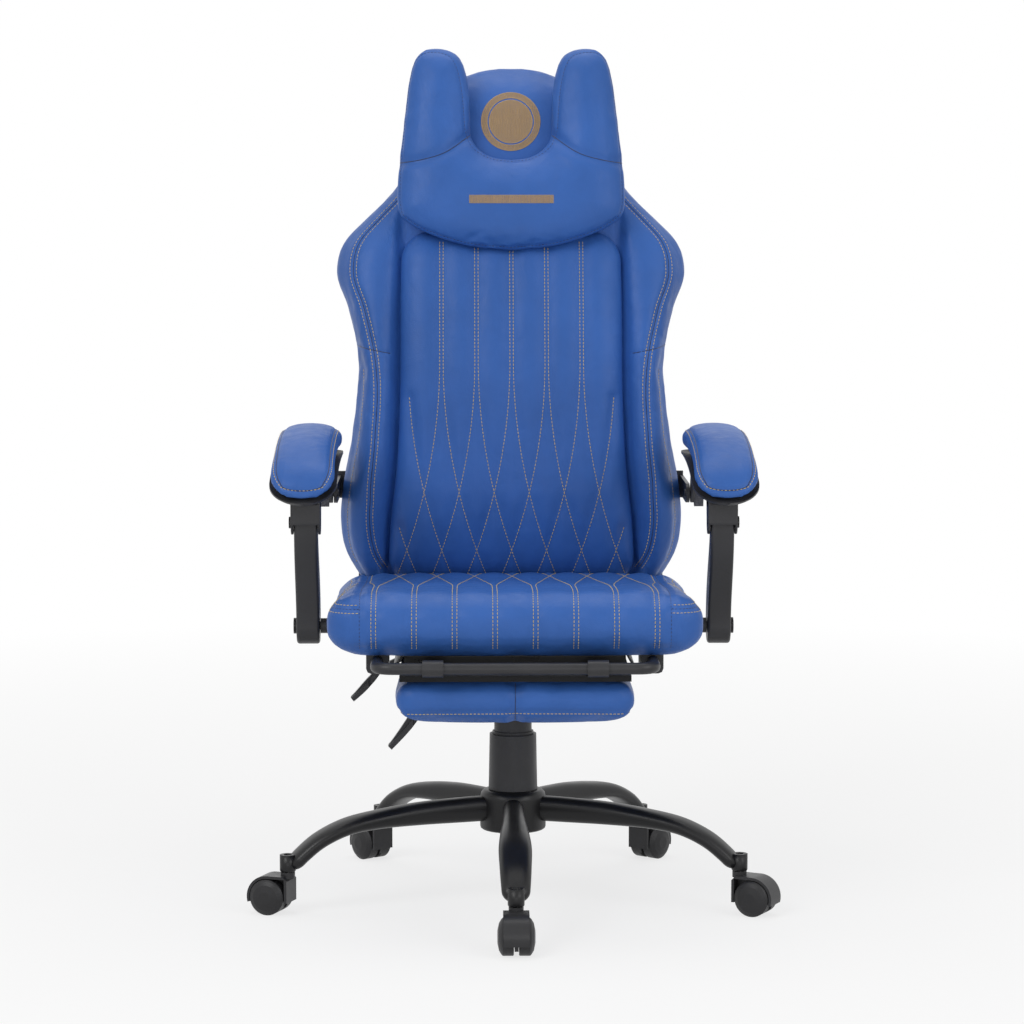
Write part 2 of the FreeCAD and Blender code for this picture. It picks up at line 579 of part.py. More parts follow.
def seat_cushion():
    half, foot, rise = size("seat_half"), size("deck") + 0.3, size("seat_rise")
    front, back, frame = -size("seat_front"), size("seat_back"), size("rail_half")
    sections = ((front, half - 40, foot + 10, foot + rise - 24, 20),
                (front + 12, half - 12, foot + 2, foot + rise - 8, 30),
                (front + 37, half, foot, foot + rise, 36),
                (0.33 * back, half, foot, foot + rise - 12, 34),
                (back - 33, half - 5, foot, foot + rise - 16, 32),
                (back, half - 15, foot + 2, foot + rise - 24, 28))
    block = cushion(sections, lambda y: (lambda x, z: Vector(x, y, z)))
    ceiling = foot + size("rail_size") + size("board") + 2 * RIM
    well = Part.makeBox(2 * frame + 3, size("rail_front") + 13 + back + 1, ceiling - foot + 1,
                        Vector(-frame - 1.5, -size("rail_front") - 13, foot - 1))
    holes = Part.makeCylinder(size("pivot_radius") + 5.5, 2 * half + 4,
                              Vector(-half - 2, size("post_foot_y"), size("post_foot_z")), Vector(1, 0, 0))
    finish(shaped("seat_cushion", block.cut(Part.makeCompound([well, holes]))), "seat_cushion")
    finish(box("seat_board", ("-1 * rail_half + 14", "rail_half - 14"), ("-1 * rail_front - 10", "seat_back - 3"),
               ("deck + 0.3 + rail_size", "deck + 0.3 + rail_size + board")), "seat_board")


# ---- footrest ---------------------------------------------------------------

def footrest_guides():
    guides = []
    for label, side in SIDES:
        block = prism(f"guide_{label}", "XZ_Plane", [
            (f"{side} * guide_in", "deck"), (f"{side} * guide_in", "guide_foot"),
            (f"{side} * ( guide_out - 7 )", "guide_foot"),
            (f"{side} * ( guide_out - 2 )", "guide_foot + 2"), (f"{side} * guide_out", "guide_foot + 7"),
            (f"{side} * guide_out", "deck")], ("guide_back", "tray_front"))
        bore = rod(f"guide_bore_{label}", "bar_radius + play", "y", ("-1 * tray_front - 1", "-1 * guide_back + 1"),
                   (f"{side} * bar_half", "bar_height"))
        guides.append(cut(f"guide_block_{label}", block, [bore]))
    finish(group("footrest_guides", guides), "footrest_guides")


def footrest_tube():
    half, front, back = size("bar_half"), -size("bar_front"), size("bar_back")
    bend, height, radius = size("bar_bend"), size("bar_height"), size("bar_radius")
    mid = bend * (1 - math.sqrt(0.5))

    def at(x, y):
        return Vector(x, y, height)

    path = Part.Wire([
        Part.makeLine(at(-half, back), at(-half, front + bend)),
        Part.Arc(at(-half, front + bend), at(-half + mid, front + mid), at(-half + bend, front)).toShape(),
        Part.makeLine(at(-half + bend, front), at(half - bend, front)),
        Part.Arc(at(half - bend, front), at(half - mid, front + mid), at(half, front + bend)).toShape(),
        Part.makeLine(at(half, front + bend), at(half, back))])
    circle = Part.Wire([Part.makeCircle(radius, at(-half, back), Vector(0, 1, 0))])
    finish(shaped("footrest_tube", path.makePipeShell([circle], True, False)), "footrest_tube")


CLIP_X = 110
CLIP_HALF = 14


def footrest_pad():
    bar, height, radius = -size("bar_front"), size("bar_height"), size("bar_radius")
    half, deep, foot, board = size("rest_half"), size("rest_deep"), size("rest_foot"), size("rest_board")
    ring = radius + 3.4
    deck = height - ring - 0.4
    clips = []
    for x in (-CLIP_X, CLIP_X):
        loop = Part.makeCylinder(ring, 2 * CLIP_HALF, Vector(x - CLIP_HALF, bar, height), Vector(1, 0, 0))
        tab = Part.makeBox(2 * CLIP_HALF, 44, 2.8, Vector(x - CLIP_HALF, bar, deck + 0.2))
        hole = Part.makeCylinder(radius + size("play"), 2 * CLIP_HALF + 2,
                                 Vector(x - CLIP_HALF - 1, bar, height), Vector(1, 0, 0))
        clips.append(loop.fuse(tab).cut(hole).removeSplitter())
    finish(shaped("footrest_clips", Part.makeCompound(clips)), "footrest_clips")
    plank = Part.makeBox(2 * half - 16, deep - 12, board, Vector(-half + 8, bar + 15, deck - board))
    finish(shaped("footrest_board", plank), "footrest_board")
    top = deck - board - RIM
    sections = ((bar + 11, half - 8, foot + 6, top - 6, 14), (bar + 18, half, foot, top, 16),
                (bar + deep, half, foot, top, 16), (bar + deep + 8, half - 8, foot + 6, top - 6, 14))
    finish(shaped("footrest_pad", cushion(sections, lambda y: (lambda x, z: Vector(x, y, z)))),
           "footrest_pad")


# ---- backrest ---------------------------------------------------------------

LEAN = 0.268          # rearward run of the upper back for each unit of rise
SHOULDER_Z = 885      # height where the back starts to lean evenly
SHOULDER_FRONT = 205
SHOULDER_REAR = 290
BACK_STATIONS = (     # height, share of the shoulder half width, front, rear
    (437, 0.85, 202, 262), (476, 0.945, 172, 267), (520, 0.968, 158, 267), (565, 0.953, 156, 267),
    (651, 0.896, 160, 267), (745, 0.876, 172, 272), (830, 0.938, 190, 281),
)
UPPER_STATIONS = ((885, 1.0), (929, 0.949), (958, 0.845), (987, 0.733), (1017, 0.643),
                  (1100, 0.56), (1150, 0.44), (1175, 0.22))
PANEL_TOP = 905
PANEL_HALF = ((452, 177), (565, 170), (651, 163), (745, 158), (885, 160), (PANEL_TOP, 154))


def lean_line(start, z):
    return start + (z - SHOULDER_Z) * LEAN


def back_stations():
    """Height, half width, front and rear of the back, from its foot to its crown."""
    width = size("back_half")
    rows = [(z, share * width, front, rear) for z, share, front, rear in BACK_STATIONS]
    rows += [(z, share * width, lean_line(SHOULDER_FRONT, z), lean_line(SHOULDER_REAR, z))
             for z, share in UPPER_STATIONS]
    return rows


def between(rows, z, column):
    """The value in a column of rows at height z, along straight lines."""
    for lower, upper in zip(rows, rows[1:]):
        if lower[0] <= z <= upper[0]:
            share = (z - lower[0]) / (upper[0] - lower[0])
            return lower[column] + share * (upper[column] - lower[column])
    return rows[-1][column]


def level(z):
    return lambda x, y: Vector(x, y, z)


def backrest():
    rows = back_stations()
    foam = [(z, half, front, rear, 34) for z, half, front, rear in rows]
    finish(shaped("back_cushion", cushion(foam, level)), "back_cushion")

    thick = size("back_board")
    plank = [(z, half - 16, rear + RIM, rear + RIM + thick, 5.5) for z, half, _, rear in rows[:-1]]
    holes = [Part.makeCylinder(3.2, 40, Vector(x, 250, z), Vector(0, 1, 0)) for x, z in back_bolt_spots()]
    board = cushion(plank, level).cut(Part.makeCompound(holes))
    finish(shaped("back_board", board), "back_board")

    inside = {row[0] for row in rows if PANEL_HALF[0][0] < row[0] < PANEL_TOP}
    levels = sorted(inside | {row[0] for row in PANEL_HALF})
    proud = size("panel_proud")
    panel = [(z, between(PANEL_HALF, z, 1), between(rows, z, 2) - RIM - proud,
              between(rows, z, 2) - RIM, 9) for z in levels]
    finish(shaped("back_panel", cushion(panel, level)), "back_panel")


def back_bolt_spots():
    return [(x, z) for z in (462, 565) for x in (-150, 150)]


BAR_Y = 280.5         # front face of the cross bars behind the back board


def back_bracket():
    """Hinge arms, cross bars and side lugs of the back, welded together."""
    hinge_y, hinge_z = size("hinge_y"), size("hinge_z")
    arm_in, thick = size("rail_half") - 6, size("strap") + 1
    lug_y = hinge_y + size("post_lean")
    lug_z = hinge_z + size("post_rise")
    out = size("lug_in") + size("strap")
    bars = [Part.makeBox(2 * out, size("strap"), 40, Vector(-out, BAR_Y, lug_z - 20)),
            Part.makeBox(2 * (arm_in + thick), size("strap"), 28, Vector(-arm_in - thick, BAR_Y, 448))]
    outline = [(hinge_y + 3, hinge_z - 14.6), (BAR_Y + 8, hinge_z), (BAR_Y + 16, hinge_z + 22),
               (BAR_Y + 16, lug_z + 20), (BAR_Y + 2, lug_z + 20), (BAR_Y + 2, hinge_z + 26),
               (hinge_y + 60, hinge_z + 15), (hinge_y, hinge_z + 15)]
    pieces = []
    for label, side in SIDES:
        face = Part.Face(Part.makePolygon([Vector(0, y, z) for y, z in outline + outline[:1]]))
        arm = face.extrude(Vector(thick, 0, 0))
        arm = arm.fuse(Part.makeCylinder(15, thick, Vector(0, hinge_y, hinge_z), Vector(1, 0, 0)))
        bore = Part.makeCylinder(size("pivot_radius") + size("play"), thick + 2,
                                 Vector(-1, hinge_y, hinge_z), Vector(1, 0, 0))
        pieces.append(arm.cut(bore).translated(Vector(arm_in if side > 0 else -arm_in - thick, 0, 0)))
        lug = Part.makeBox(size("strap"), BAR_Y + 5 - lug_y, 28, Vector(0, lug_y, lug_z - 14))
        lug = lug.fuse(Part.makeCylinder(14, size("strap"), Vector(0, lug_y, lug_z), Vector(1, 0, 0)))
        pieces.append(lug.translated(Vector(out - size("strap") if side > 0 else -out, 0, 0)))
        start = size("lug_in") - 2 if side > 0 else -size("lug_in") - 17.5
        pieces.append(Part.makeCylinder(size("pin_radius"), 19.5, Vector(start, lug_y, lug_z), Vector(1, 0, 0)))
    holes = [Part.makeCylinder(3.2, 30, Vector(x, 270, z), Vector(0, 1, 0)) for x, z in back_bolt_spots()]
    bracket = bars[0].multiFuse(bars[1:] + pieces).cut(Part.makeCompound(holes)).removeSplitter()
    finish(shaped("back_bracket", bracket), "back_bracket")

    bolts = []
    for x, z in back_bolt_spots():
        shank = Part.makeCylinder(3, BAR_Y + 6 - 271, Vector(x, 271, z), Vector(0, 1, 0))
        head = Part.makeCylinder(6, 4, Vector(x, BAR_Y + size("strap") + 0.1, z), Vector(0, 1, 0))
        bolts.append(shank.fuse(head))
    finish(shaped("back_bolts", Part.makeCompound(bolts)), "back_bolts")

    pins = []
    for label, side in SIDES:
        pins.append(rod(f"hinge_shank_{label}", "pivot_radius", "x",
                        span_for(side, "rail_half - 17", "rail_half + 5"), ("hinge_y", "hinge_z")))
    finish(group("recline_pins", pins), "recline_pins")


PILLOW_FOOT = 914
PILLOW_OUTLINE = (    # half outline, x and height: foot, side, horn and notch
    (0, 914), (60, 919), (150, 950), (163, 965), (163, 1030), (158, 1120), (150, 1180),
    (128, 1205), (100, 1203), (83, 1180), (68, 1110), (45, 1066), (0, 1051),
)


def head_pillow():
    """The outline is drawn upright and laid back on the leaning front of the back."""
    lift = size("horn_top") - PILLOW_OUTLINE[7][1] - size("pillow_thick") * math.sin(math.atan(LEAN))
    stretch = math.hypot(1, LEAN)
    half = [(x, (z + (lift if z > 1100 else 0) - PILLOW_FOOT) * stretch) for x, z in PILLOW_OUTLINE]
    outline = half + [(-x, z) for x, z in half[-2:0:-1]]
    face = Part.Face(Part.makePolygon([Vector(x, 0, z) for x, z in outline + outline[:1]]))
    pillow = face.extrude(Vector(0, -size("pillow_thick"), 0))
    foot = Vector(0, lean_line(SHOULDER_FRONT, PILLOW_FOOT) - 2 * RIM, PILLOW_FOOT)
    turn = Rotation(Vector(1, 0, 0), -math.degrees(math.atan(LEAN)))
    finish(shaped("head_pillow", pillow, Placement(foot, turn)), "head_pillow")


STRAP_LOW, STRAP_HIGH = 1040, 1068


def pillow_strap():
    """The elastic that holds the pillow: a band round the sides and rear of the neck."""
    rows = back_stations()
    half = between(rows, STRAP_LOW, 1) + 0.8
    rear = between(rows, STRAP_HIGH, 3) + size("back_board") + RIM + 0.8
    front = between(rows, STRAP_HIGH, 2) + 2
    height = STRAP_HIGH - STRAP_LOW
    outer = Part.makeBox(2 * half + 5, rear + 2.5 - front, height, Vector(-half - 2.5, front, STRAP_LOW))
    inner = Part.makeBox(2 * half, rear - front + 1, height + 2, Vector(-half, front - 1, STRAP_LOW - 1))
    finish(shaped("pillow_strap", outer.cut(inner)), "pillow_strap")


# ---- armrests ---------------------------------------------------------------

def bezier(points):
    curve = Part.BezierCurve()
    curve.setPoles([Vector(0, y, z) for y, z in points])
    return curve.toShape()


def pivots():
    foot = (size("post_foot_y"), size("post_foot_z"))
    crown = (foot[0] + size("post_lean"), foot[1] + size("post_rise"))
    rear = (size("hinge_y") + size("post_lean"), size("hinge_z") + size("post_rise"))
    return foot, crown, rear


def arm_post(side):
    (foot_y, foot_z), (top_y, top_z), _ = pivots()
    heel, eye = size("post_heel"), size("post_eye")
    width = size("post_out") - size("post_in")
    front = bezier([(top_y - eye, top_z), (top_y - eye, top_z - 70), (foot_y - heel, foot_z + 50),
                    (foot_y - heel, foot_z)])
    rear = bezier([(foot_y + heel, foot_z), (foot_y + heel, foot_z + 75), (top_y + eye, top_z - 45),
                   (top_y + eye, top_z)])
    under = Part.Arc(Vector(0, foot_y - heel, foot_z), Vector(0, foot_y, foot_z - heel),
                     Vector(0, foot_y + heel, foot_z)).toShape()
    over = Part.Arc(Vector(0, top_y + eye, top_z), Vector(0, top_y, top_z + eye),
                    Vector(0, top_y - eye, top_z)).toShape()
    post = Part.Face(Part.Wire([front, under, rear, over])).extrude(Vector(width, 0, 0))
    rims = [edge for edge in post.Edges
            if abs(edge.BoundBox.XMin - edge.BoundBox.XMax) < 0.01]
    post = post.makeFillet(4, rims)
    bores = [Part.makeCylinder(size("pivot_radius") + size("play"), width + 2, Vector(-1, foot_y, foot_z),
                               Vector(1, 0, 0)),
             Part.makeCylinder(size("pin_radius") + size("play"), width + 2, Vector(-1, top_y, top_z),
                               Vector(1, 0, 0))]
    post = post.cut(Part.makeCompound(bores))
    return post.translated(Vector(size("post_in") if side > 0 else -size("post_out"), 0, 0))


PAD_TOP = ((-205, 594), (-195, 655), (-60, 680), (115, 668))
PAD_UNDER = ((-200, 581), (-180, 615), (-50, 632), (115, 628))


def shifted(points, drop):
    return [(y, z - drop) for y, z in points]


def arm_pad():
    width = size("pad_out") - size("pad_in")
    top, under = bezier(PAD_TOP), bezier(PAD_UNDER)
    front = Part.makeLine(Vector(0, *PAD_TOP[0]), Vector(0, *PAD_UNDER[0]))
    rear = Part.makeLine(Vector(0, *PAD_TOP[-1]), Vector(0, *PAD_UNDER[-1]))
    return Part.Face(Part.Wire(Part.sortEdges([top, rear, under, front])[0])).extrude(Vector(width, 0, 0))


CHEEK = 3
ARM_PLATE_IN = 258.5


def arm_bracket():
    """Tray under the pad, fork round the post and plate down to the rear pivot."""
    _, (top_y, top_z), (rear_y, rear_z) = pivots()
    eye, strap = size("post_eye"), size("strap")
    tray_in, tray_out = size("pad_in") + 4, size("pad_out") - 4
    upper, lower = shifted(PAD_UNDER, RIM), shifted(PAD_UNDER, RIM + 4.5)
    ends = [Part.makeLine(Vector(0, *upper[k]), Vector(0, *lower[k])) for k in (0, -1)]
    tray = Part.Face(Part.Wire(Part.sortEdges([bezier(upper), bezier(lower)] + ends)[0]))
    tray = tray.extrude(Vector(tray_out - tray_in, 0, 0)).translated(Vector(tray_in, 0, 0))

    def plate(points, start, thick):
        face = Part.Face(Part.makePolygon([Vector(start, y, z) for y, z in points + points[:1]]))
        return face.extrude(Vector(thick, 0, 0))

    def disc(y, z, radius, start, thick):
        return Part.makeCylinder(radius, thick, Vector(start, y, z), Vector(1, 0, 0))

    pieces = [tray]
    cheek = [(top_y - eye, top_z), (top_y - 42, top_z + 46), (top_y + 40, top_z + 66), (top_y + eye, top_z)]
    for start in (size("post_in") - CHEEK - 1, size("post_out") + 1):
        pieces += [plate(cheek, start, CHEEK), disc(top_y, top_z, eye, start, CHEEK)]
    arm = [(rear_y - 85, rear_z + 58), (rear_y - 27, rear_z + 60), (rear_y + 10, rear_z + 10),
           (rear_y - 10, rear_z - 10)]
    pieces += [plate(arm, ARM_PLATE_IN, strap), disc(rear_y, rear_z, eye, ARM_PLATE_IN, strap)]
    bores = [disc(top_y, top_z, size("pin_radius") + 0.02, size("post_in") - 10, 60),
             disc(rear_y, rear_z, size("pin_radius") + 0.4, ARM_PLATE_IN - 1, strap + 2)]
    return pieces[0].multiFuse(pieces[1:]).cut(Part.makeCompound(bores)).removeSplitter()


def arm_cover():
    """The grey crescent housing over the rear pivot."""
    _, _, (rear_y, rear_z) = pivots()
    start = ARM_PLATE_IN + size("strap") + 0.2
    outer = [(rear_y - 78, rear_z + 50), (rear_y - 20, rear_z + 50), (rear_y + 20, rear_z + 35),
             (rear_y + 22, rear_z - 5)]
    inner = [(rear_y - 6, rear_z - 19), (rear_y - 20, rear_z + 25), (rear_y - 50, rear_z + 36),
             (rear_y - 78, rear_z + 42)]
    ends = [Part.makeLine(Vector(0, *outer[-1]), Vector(0, *inner[0])),
            Part.makeLine(Vector(0, *inner[-1]), Vector(0, *outer[0]))]
    outline = Part.Wire(Part.sortEdges([bezier(outer), bezier(inner)] + ends)[0])
    cover = Part.Face(outline).extrude(Vector(13.5, 0, 0))
    hollow = Part.makeCylinder(size("pin_radius") + 1.5, 8, Vector(-1, rear_y, rear_z), Vector(1, 0, 0))
    return cover.cut(hollow).translated(Vector(start, 0, 0))


def arm_pin():
    _, (top_y, top_z), _ = pivots()
    start = size("post_in") - CHEEK - 1.2
    end = size("post_out") + CHEEK + 1.2
    shank = Part.makeCylinder(size("pin_radius"), end - start, Vector(start, top_y, top_z), Vector(1, 0, 0))
    head = Part.makeCylinder(8, 3, Vector(end, top_y, top_z), Vector(1, 0, 0))
    return shank.fuse(head).removeSplitter()


def pivot_bolt():
    (foot_y, foot_z), _, _ = pivots()
    start, end = size("rail_half") + 9, size("post_out") + 0.6
    shank = Part.makeCylinder(size("pivot_radius"), end - start, Vector(start, foot_y, foot_z), Vector(1, 0, 0))
    head = Part.makeCylinder(11, 4, Vector(end, foot_y, foot_z), Vector(1, 0, 0))
    return shank.fuse(head).removeSplitter()


def mirrored(shape, side):
    return shape if side > 0 else shape.mirror(Vector(), Vector(1, 0, 0))


def armrests():
    pad = arm_pad().translated(Vector(size("pad_in"), 0, 0))
    pieces = {"arm_pad": pad, "arm_bracket": arm_bracket(), "arm_cover": arm_cover(), "arm_pin": arm_pin()}
    for label, side in SIDES:
        finish(shaped(f"arm_post_{label}", arm_post(side)), f"arm_post_{label}")
        for name, shape in pieces.items():
            finish(shaped(f"{name}_{label}", mirrored(shape, side)), f"{name}_{label}")
    bolts = [mirrored(pivot_bolt(), side) for _, side in SIDES]
    finish(shaped("post_bolts", Part.makeCompound(bolts)), "post_bolts")


# ---- build and export -------------------------------------------------------

def check_and_export():
    doc.recompute()
    for item in doc.Objects:
        bad = {"Invalid", "Error"} & set(item.State)
        if bad:
            raise RuntimeError(f"{item.Label} is {sorted(bad)}")
    for item in finished:
        if item.Shape.isNull() or not item.Shape.isValid() or not item.Shape.Solids:
            raise RuntimeError(f"{item.Label} has no valid solid")
    os.makedirs("parts", exist_ok=True)
    for item in finished:
        item.Shape.exportStep(f"parts/{item.Label}.step")
        print(f"{item.Label}: {len(item.Shape.Solids)} solid(s), {item.Shape.Volume / 1000:.1f} cm3")


def main():
    fill_sheet()
    star_base()
    casters()
    gas_column()
    column_covers()
    mechanism()
    levers()
    seat_frame()
    seat_tray()
    seat_bolts()
    seat_cushion()
    footrest_guides()
    footrest_tube()
    footrest_pad()
    backrest()
    back_bracket()
    head_pillow()
    pillow_strap()
    armrests()
    check_and_export()


main()
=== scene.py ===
"""Looks of the reclining swivel chair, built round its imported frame. Metres, floor at z = 0, front towards -Y."""

import math

import bmesh
import bpy
import numpy as np
from bpy.props import FloatProperty, FloatVectorProperty, PointerProperty
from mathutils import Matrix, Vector
from mathutils.bvhtree import BVHTree
from mathutils.kdtree import KDTree


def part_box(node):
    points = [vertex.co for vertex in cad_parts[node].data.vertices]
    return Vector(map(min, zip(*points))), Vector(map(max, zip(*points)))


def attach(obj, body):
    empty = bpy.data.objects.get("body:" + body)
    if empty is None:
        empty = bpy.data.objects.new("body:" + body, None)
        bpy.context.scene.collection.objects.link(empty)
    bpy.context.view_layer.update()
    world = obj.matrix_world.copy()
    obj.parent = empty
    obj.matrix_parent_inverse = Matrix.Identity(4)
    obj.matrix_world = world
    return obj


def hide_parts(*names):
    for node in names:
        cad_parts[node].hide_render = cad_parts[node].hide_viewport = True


bl_info = {
    "name": "Swivel Chair Looks",
    "version": (1, 0, 0),
    "blender": (4, 5, 0),
    "location": "3D View > Sidebar > Chair",
    "description": "Upholstery, stitching, finishes and studio for the reclining swivel chair",
    "category": "Object",
}

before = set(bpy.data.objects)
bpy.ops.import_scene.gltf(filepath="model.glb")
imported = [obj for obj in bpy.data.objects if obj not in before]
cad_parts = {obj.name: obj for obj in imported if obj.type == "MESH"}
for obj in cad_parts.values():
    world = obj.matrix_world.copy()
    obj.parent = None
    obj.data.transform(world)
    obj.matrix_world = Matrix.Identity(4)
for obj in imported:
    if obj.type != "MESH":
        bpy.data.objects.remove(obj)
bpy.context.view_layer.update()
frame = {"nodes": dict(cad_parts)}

LEAN = 0.268  # how far the upper back leans for each metre of height
# height, half width, front, rear of the backrest
BACK_STATIONS = (
    (0.421, 0.216, 0.192, 0.262),
    (0.476, 0.2445, 0.172, 0.267),
    (0.520, 0.250, 0.162, 0.267),
    (0.565, 0.246, 0.158, 0.267),
    (0.651, 0.2312, 0.161, 0.267),
    (0.745, 0.226, 0.172, 0.272),
    (0.830, 0.2425, 0.190, 0.281),
    (0.885, 0.258, 0.205, 0.290),
    (0.929, 0.245, 0.217, 0.302),
    (0.958, 0.218, 0.2245, 0.3095),
    (0.987, 0.189, 0.232, 0.317),
    (1.017, 0.166, 0.240, 0.325),
    (1.100, 0.1445, 0.263, 0.348),
    (1.150, 0.1135, 0.276, 0.361),
    (1.175, 0.057, 0.283, 0.368),
)
PANEL_HALVES = ((0.440, 0.180), (0.520, 0.176), (0.600, 0.167), (0.700, 0.162), (0.850, 0.161), (0.93, 0.160))


# ---------------------------------------------------------------- numbers and curves


def ease(t):
    t = np.clip(t, 0.0, 1.0)
    return t * t * (3 - 2 * t)


def along(table, at, column=1):
    """Smooth value of one column of a table of stations at a height."""
    rows = np.array(table, float)
    x, y = rows[:, 0], rows[:, column]
    slope = np.gradient(y, x)
    at = np.clip(at, x[0], x[-1])
    i = np.clip(np.searchsorted(x, at) - 1, 0, len(x) - 2)
    gap = x[i + 1] - x[i]
    t = (at - x[i]) / gap
    return (
        (1 + 2 * t) * (1 - t) ** 2 * y[i]
        + t * (1 - t) ** 2 * gap * slope[i]
        + t * t * (3 - 2 * t) * y[i + 1]
        + t * t * (t - 1) * gap * slope[i + 1]
    )


def end_rounding(run):
    """Share of the armrest's full width along it: a long taper at its drooping front, a short one at its rear."""
    front = 1 - (1 - np.clip(run / 0.28, 0, 1)) ** 2.2
    rear = 1 - (1 - np.clip((1 - run) / 0.09, 0, 1)) ** 2.2
    return (0.93 * np.sqrt(front) + 0.07) * (0.93 * np.sqrt(rear) + 0.07)


def bezier(points, t):
    a, b, c, d = (np.array(p, float) for p in points)
    t = np.asarray(t, float)[..., None]
    return (1 - t) ** 3 * a + 3 * t * (1 - t) ** 2 * b + 3 * t * t * (1 - t) * c + t**3 * d


def spline_through(points, count, closed=False):
    """Evenly many points on a smooth curve through the given ones."""
    p = np.array(points, float)
    n = len(p)
    if closed:
        p = np.vstack([p[-1], p, p[0], p[1]])
        spans = n
    else:
        p = np.vstack([2 * p[0] - p[1], p, 2 * p[-1] - p[-2]])
        spans = n - 1
    s = np.linspace(0, spans, count, endpoint=not closed)
    i = np.minimum(s.astype(int), spans - 1)
    t = (s - i)[:, None]
    a, b, c, d = p[i], p[i + 1], p[i + 2], p[i + 3]
    return 0.5 * (2 * b + (c - a) * t + (2 * a - 5 * b + 4 * c - d) * t**2 + (3 * b - a - 3 * c + d) * t**3)


def evenly(path, step):
    """The path again, with points a step apart."""
    path = np.array(path, float)
    run = np.concatenate([[0], np.cumsum(np.linalg.norm(np.diff(path, axis=0), axis=1))])
    count = max(2, int(run[-1] / step) + 1)
    at = np.linspace(0, run[-1], count)
    return np.column_stack([np.interp(at, run, path[:, k]) for k in range(path.shape[1])])


# ---------------------------------------------------------------- meshes


def piece(name, verts, faces, material=None):
    mesh = bpy.data.meshes.new(name)
    mesh.from_pydata([tuple(v) for v in verts], [], [tuple(f) for f in faces])
    mesh.validate()
    return placed(name, mesh, material)


def placed(name, mesh, material=None):
    mesh.name = name
    obj = bpy.data.objects.new(name, mesh)
    bpy.context.scene.collection.objects.link(obj)
    if material:
        mesh.materials.clear()
        mesh.materials.append(material)
    if mesh.polygons:
        mesh.polygons.foreach_set("use_smooth", [True] * len(mesh.polygons))
    return obj


def outwards(obj):
    shape = bmesh.new()
    shape.from_mesh(obj.data)
    bmesh.ops.remove_doubles(shape, verts=shape.verts, dist=1e-6)
    bmesh.ops.recalc_face_normals(shape, faces=shape.faces)
    shape.to_mesh(obj.data)
    shape.free()
    obj.data.polygons.foreach_set("use_smooth", [True] * len(obj.data.polygons))
    return obj


def skinned(name, rings, material=None):
    """A closed skin over loops of equally many points, with a cap at each end."""
    rings = [np.array(r, float) for r in rings]
    n = len(rings[0])
    verts = np.vstack(rings + [rings[0].mean(0), rings[-1].mean(0)])
    faces = []
    for k in range(len(rings) - 1):
        for i in range(n):
            j = (i + 1) % n
            faces.append((k * n + i, k * n + j, (k + 1) * n + j, (k + 1) * n + i))
    low, high = len(rings) * n, len(rings) * n + 1
    last = (len(rings) - 1) * n
    for i in range(n):
        j = (i + 1) % n
        faces.append((low, j, i))
        faces.append((high, last + i, last + j))
    return outwards(piece(name, verts, faces, material))


def rounded_block(name, half, radius, cells, material=None):
    """A block with rounded edges about the origin, as a fine net."""
    half, radius = np.array(half, float), np.array(radius, float)
    shape = bmesh.new()
    verts = {}

    def corner(p):
        key = tuple(p)
        if key not in verts:
            verts[key] = shape.verts.new(p)
        return verts[key]

    for axis in range(3):
        u, w = (axis + 1) % 3, (axis + 2) % 3
        for side in (-1, 1):
            for i in range(cells[u]):
                for j in range(cells[w]):
                    quad = []
                    for a, b in ((i, j), (i + 1, j), (i + 1, j + 1), (i, j + 1)):
                        p = [0, 0, 0]
                        p[axis] = side * cells[axis]
                        p[u], p[w] = 2 * a - cells[u], 2 * b - cells[w]
                        quad.append(corner(p))
                    shape.faces.new(quad if side > 0 else quad[::-1])
    for v in shape.verts:
        q = np.array(v.co) / np.array(cells) * half
        core = np.clip(q, radius - half, half - radius)
        off = (q - core) / radius
        length = np.linalg.norm(off)
        if length > 0:
            # cube corners spread evenly round the edge
            off = off * (np.abs(off).max() / length)
        v.co = core + off * radius
    mesh = bpy.data.meshes.new(name)
    shape.to_mesh(mesh)
    shape.free()
    return outwards(placed(name, mesh, material))


def points_of(obj):
    flat = np.empty(len(obj.data.vertices) * 3)
    obj.data.vertices.foreach_get("co", flat)
    return flat.reshape(-1, 3)


def normals_of(obj):
    flat = np.empty(len(obj.data.vertices) * 3, np.float32)
    obj.data.vertex_normals.foreach_get("vector", flat)
    return flat.reshape(-1, 3).astype(float)


def set_points(obj, points):
    obj.data.vertices.foreach_set("co", np.ascontiguousarray(points, float).ravel())
    obj.data.update()


def finished(obj):
    """The object with its modifiers made part of its mesh."""
    depsgraph = bpy.context.evaluated_depsgraph_get()
    mesh = bpy.data.meshes.new_from_object(obj.evaluated_get(depsgraph))
    obj.modifiers.clear()
    old, obj.data = obj.data, mesh
    mesh.name = obj.name
    bpy.data.meshes.remove(old)
    mesh.polygons.foreach_set("use_smooth", [True] * len(mesh.polygons))
    return obj


def renetted(obj, size):
    net = obj.modifiers.new("net", "REMESH")
    net.mode = "VOXEL"
    net.voxel_size = size
    return finished(obj)


def refined(obj, levels=1):
    fine = obj.modifiers.new("fine", "SUBSURF")
    fine.levels = fine.render_levels = levels
    return finished(obj)


def relaxed(obj, factor=0.5, times=4):
    smooth = obj.modifiers.new("smooth", "SMOOTH")
    smooth.factor, smooth.iterations = factor, times
    return finished(obj)


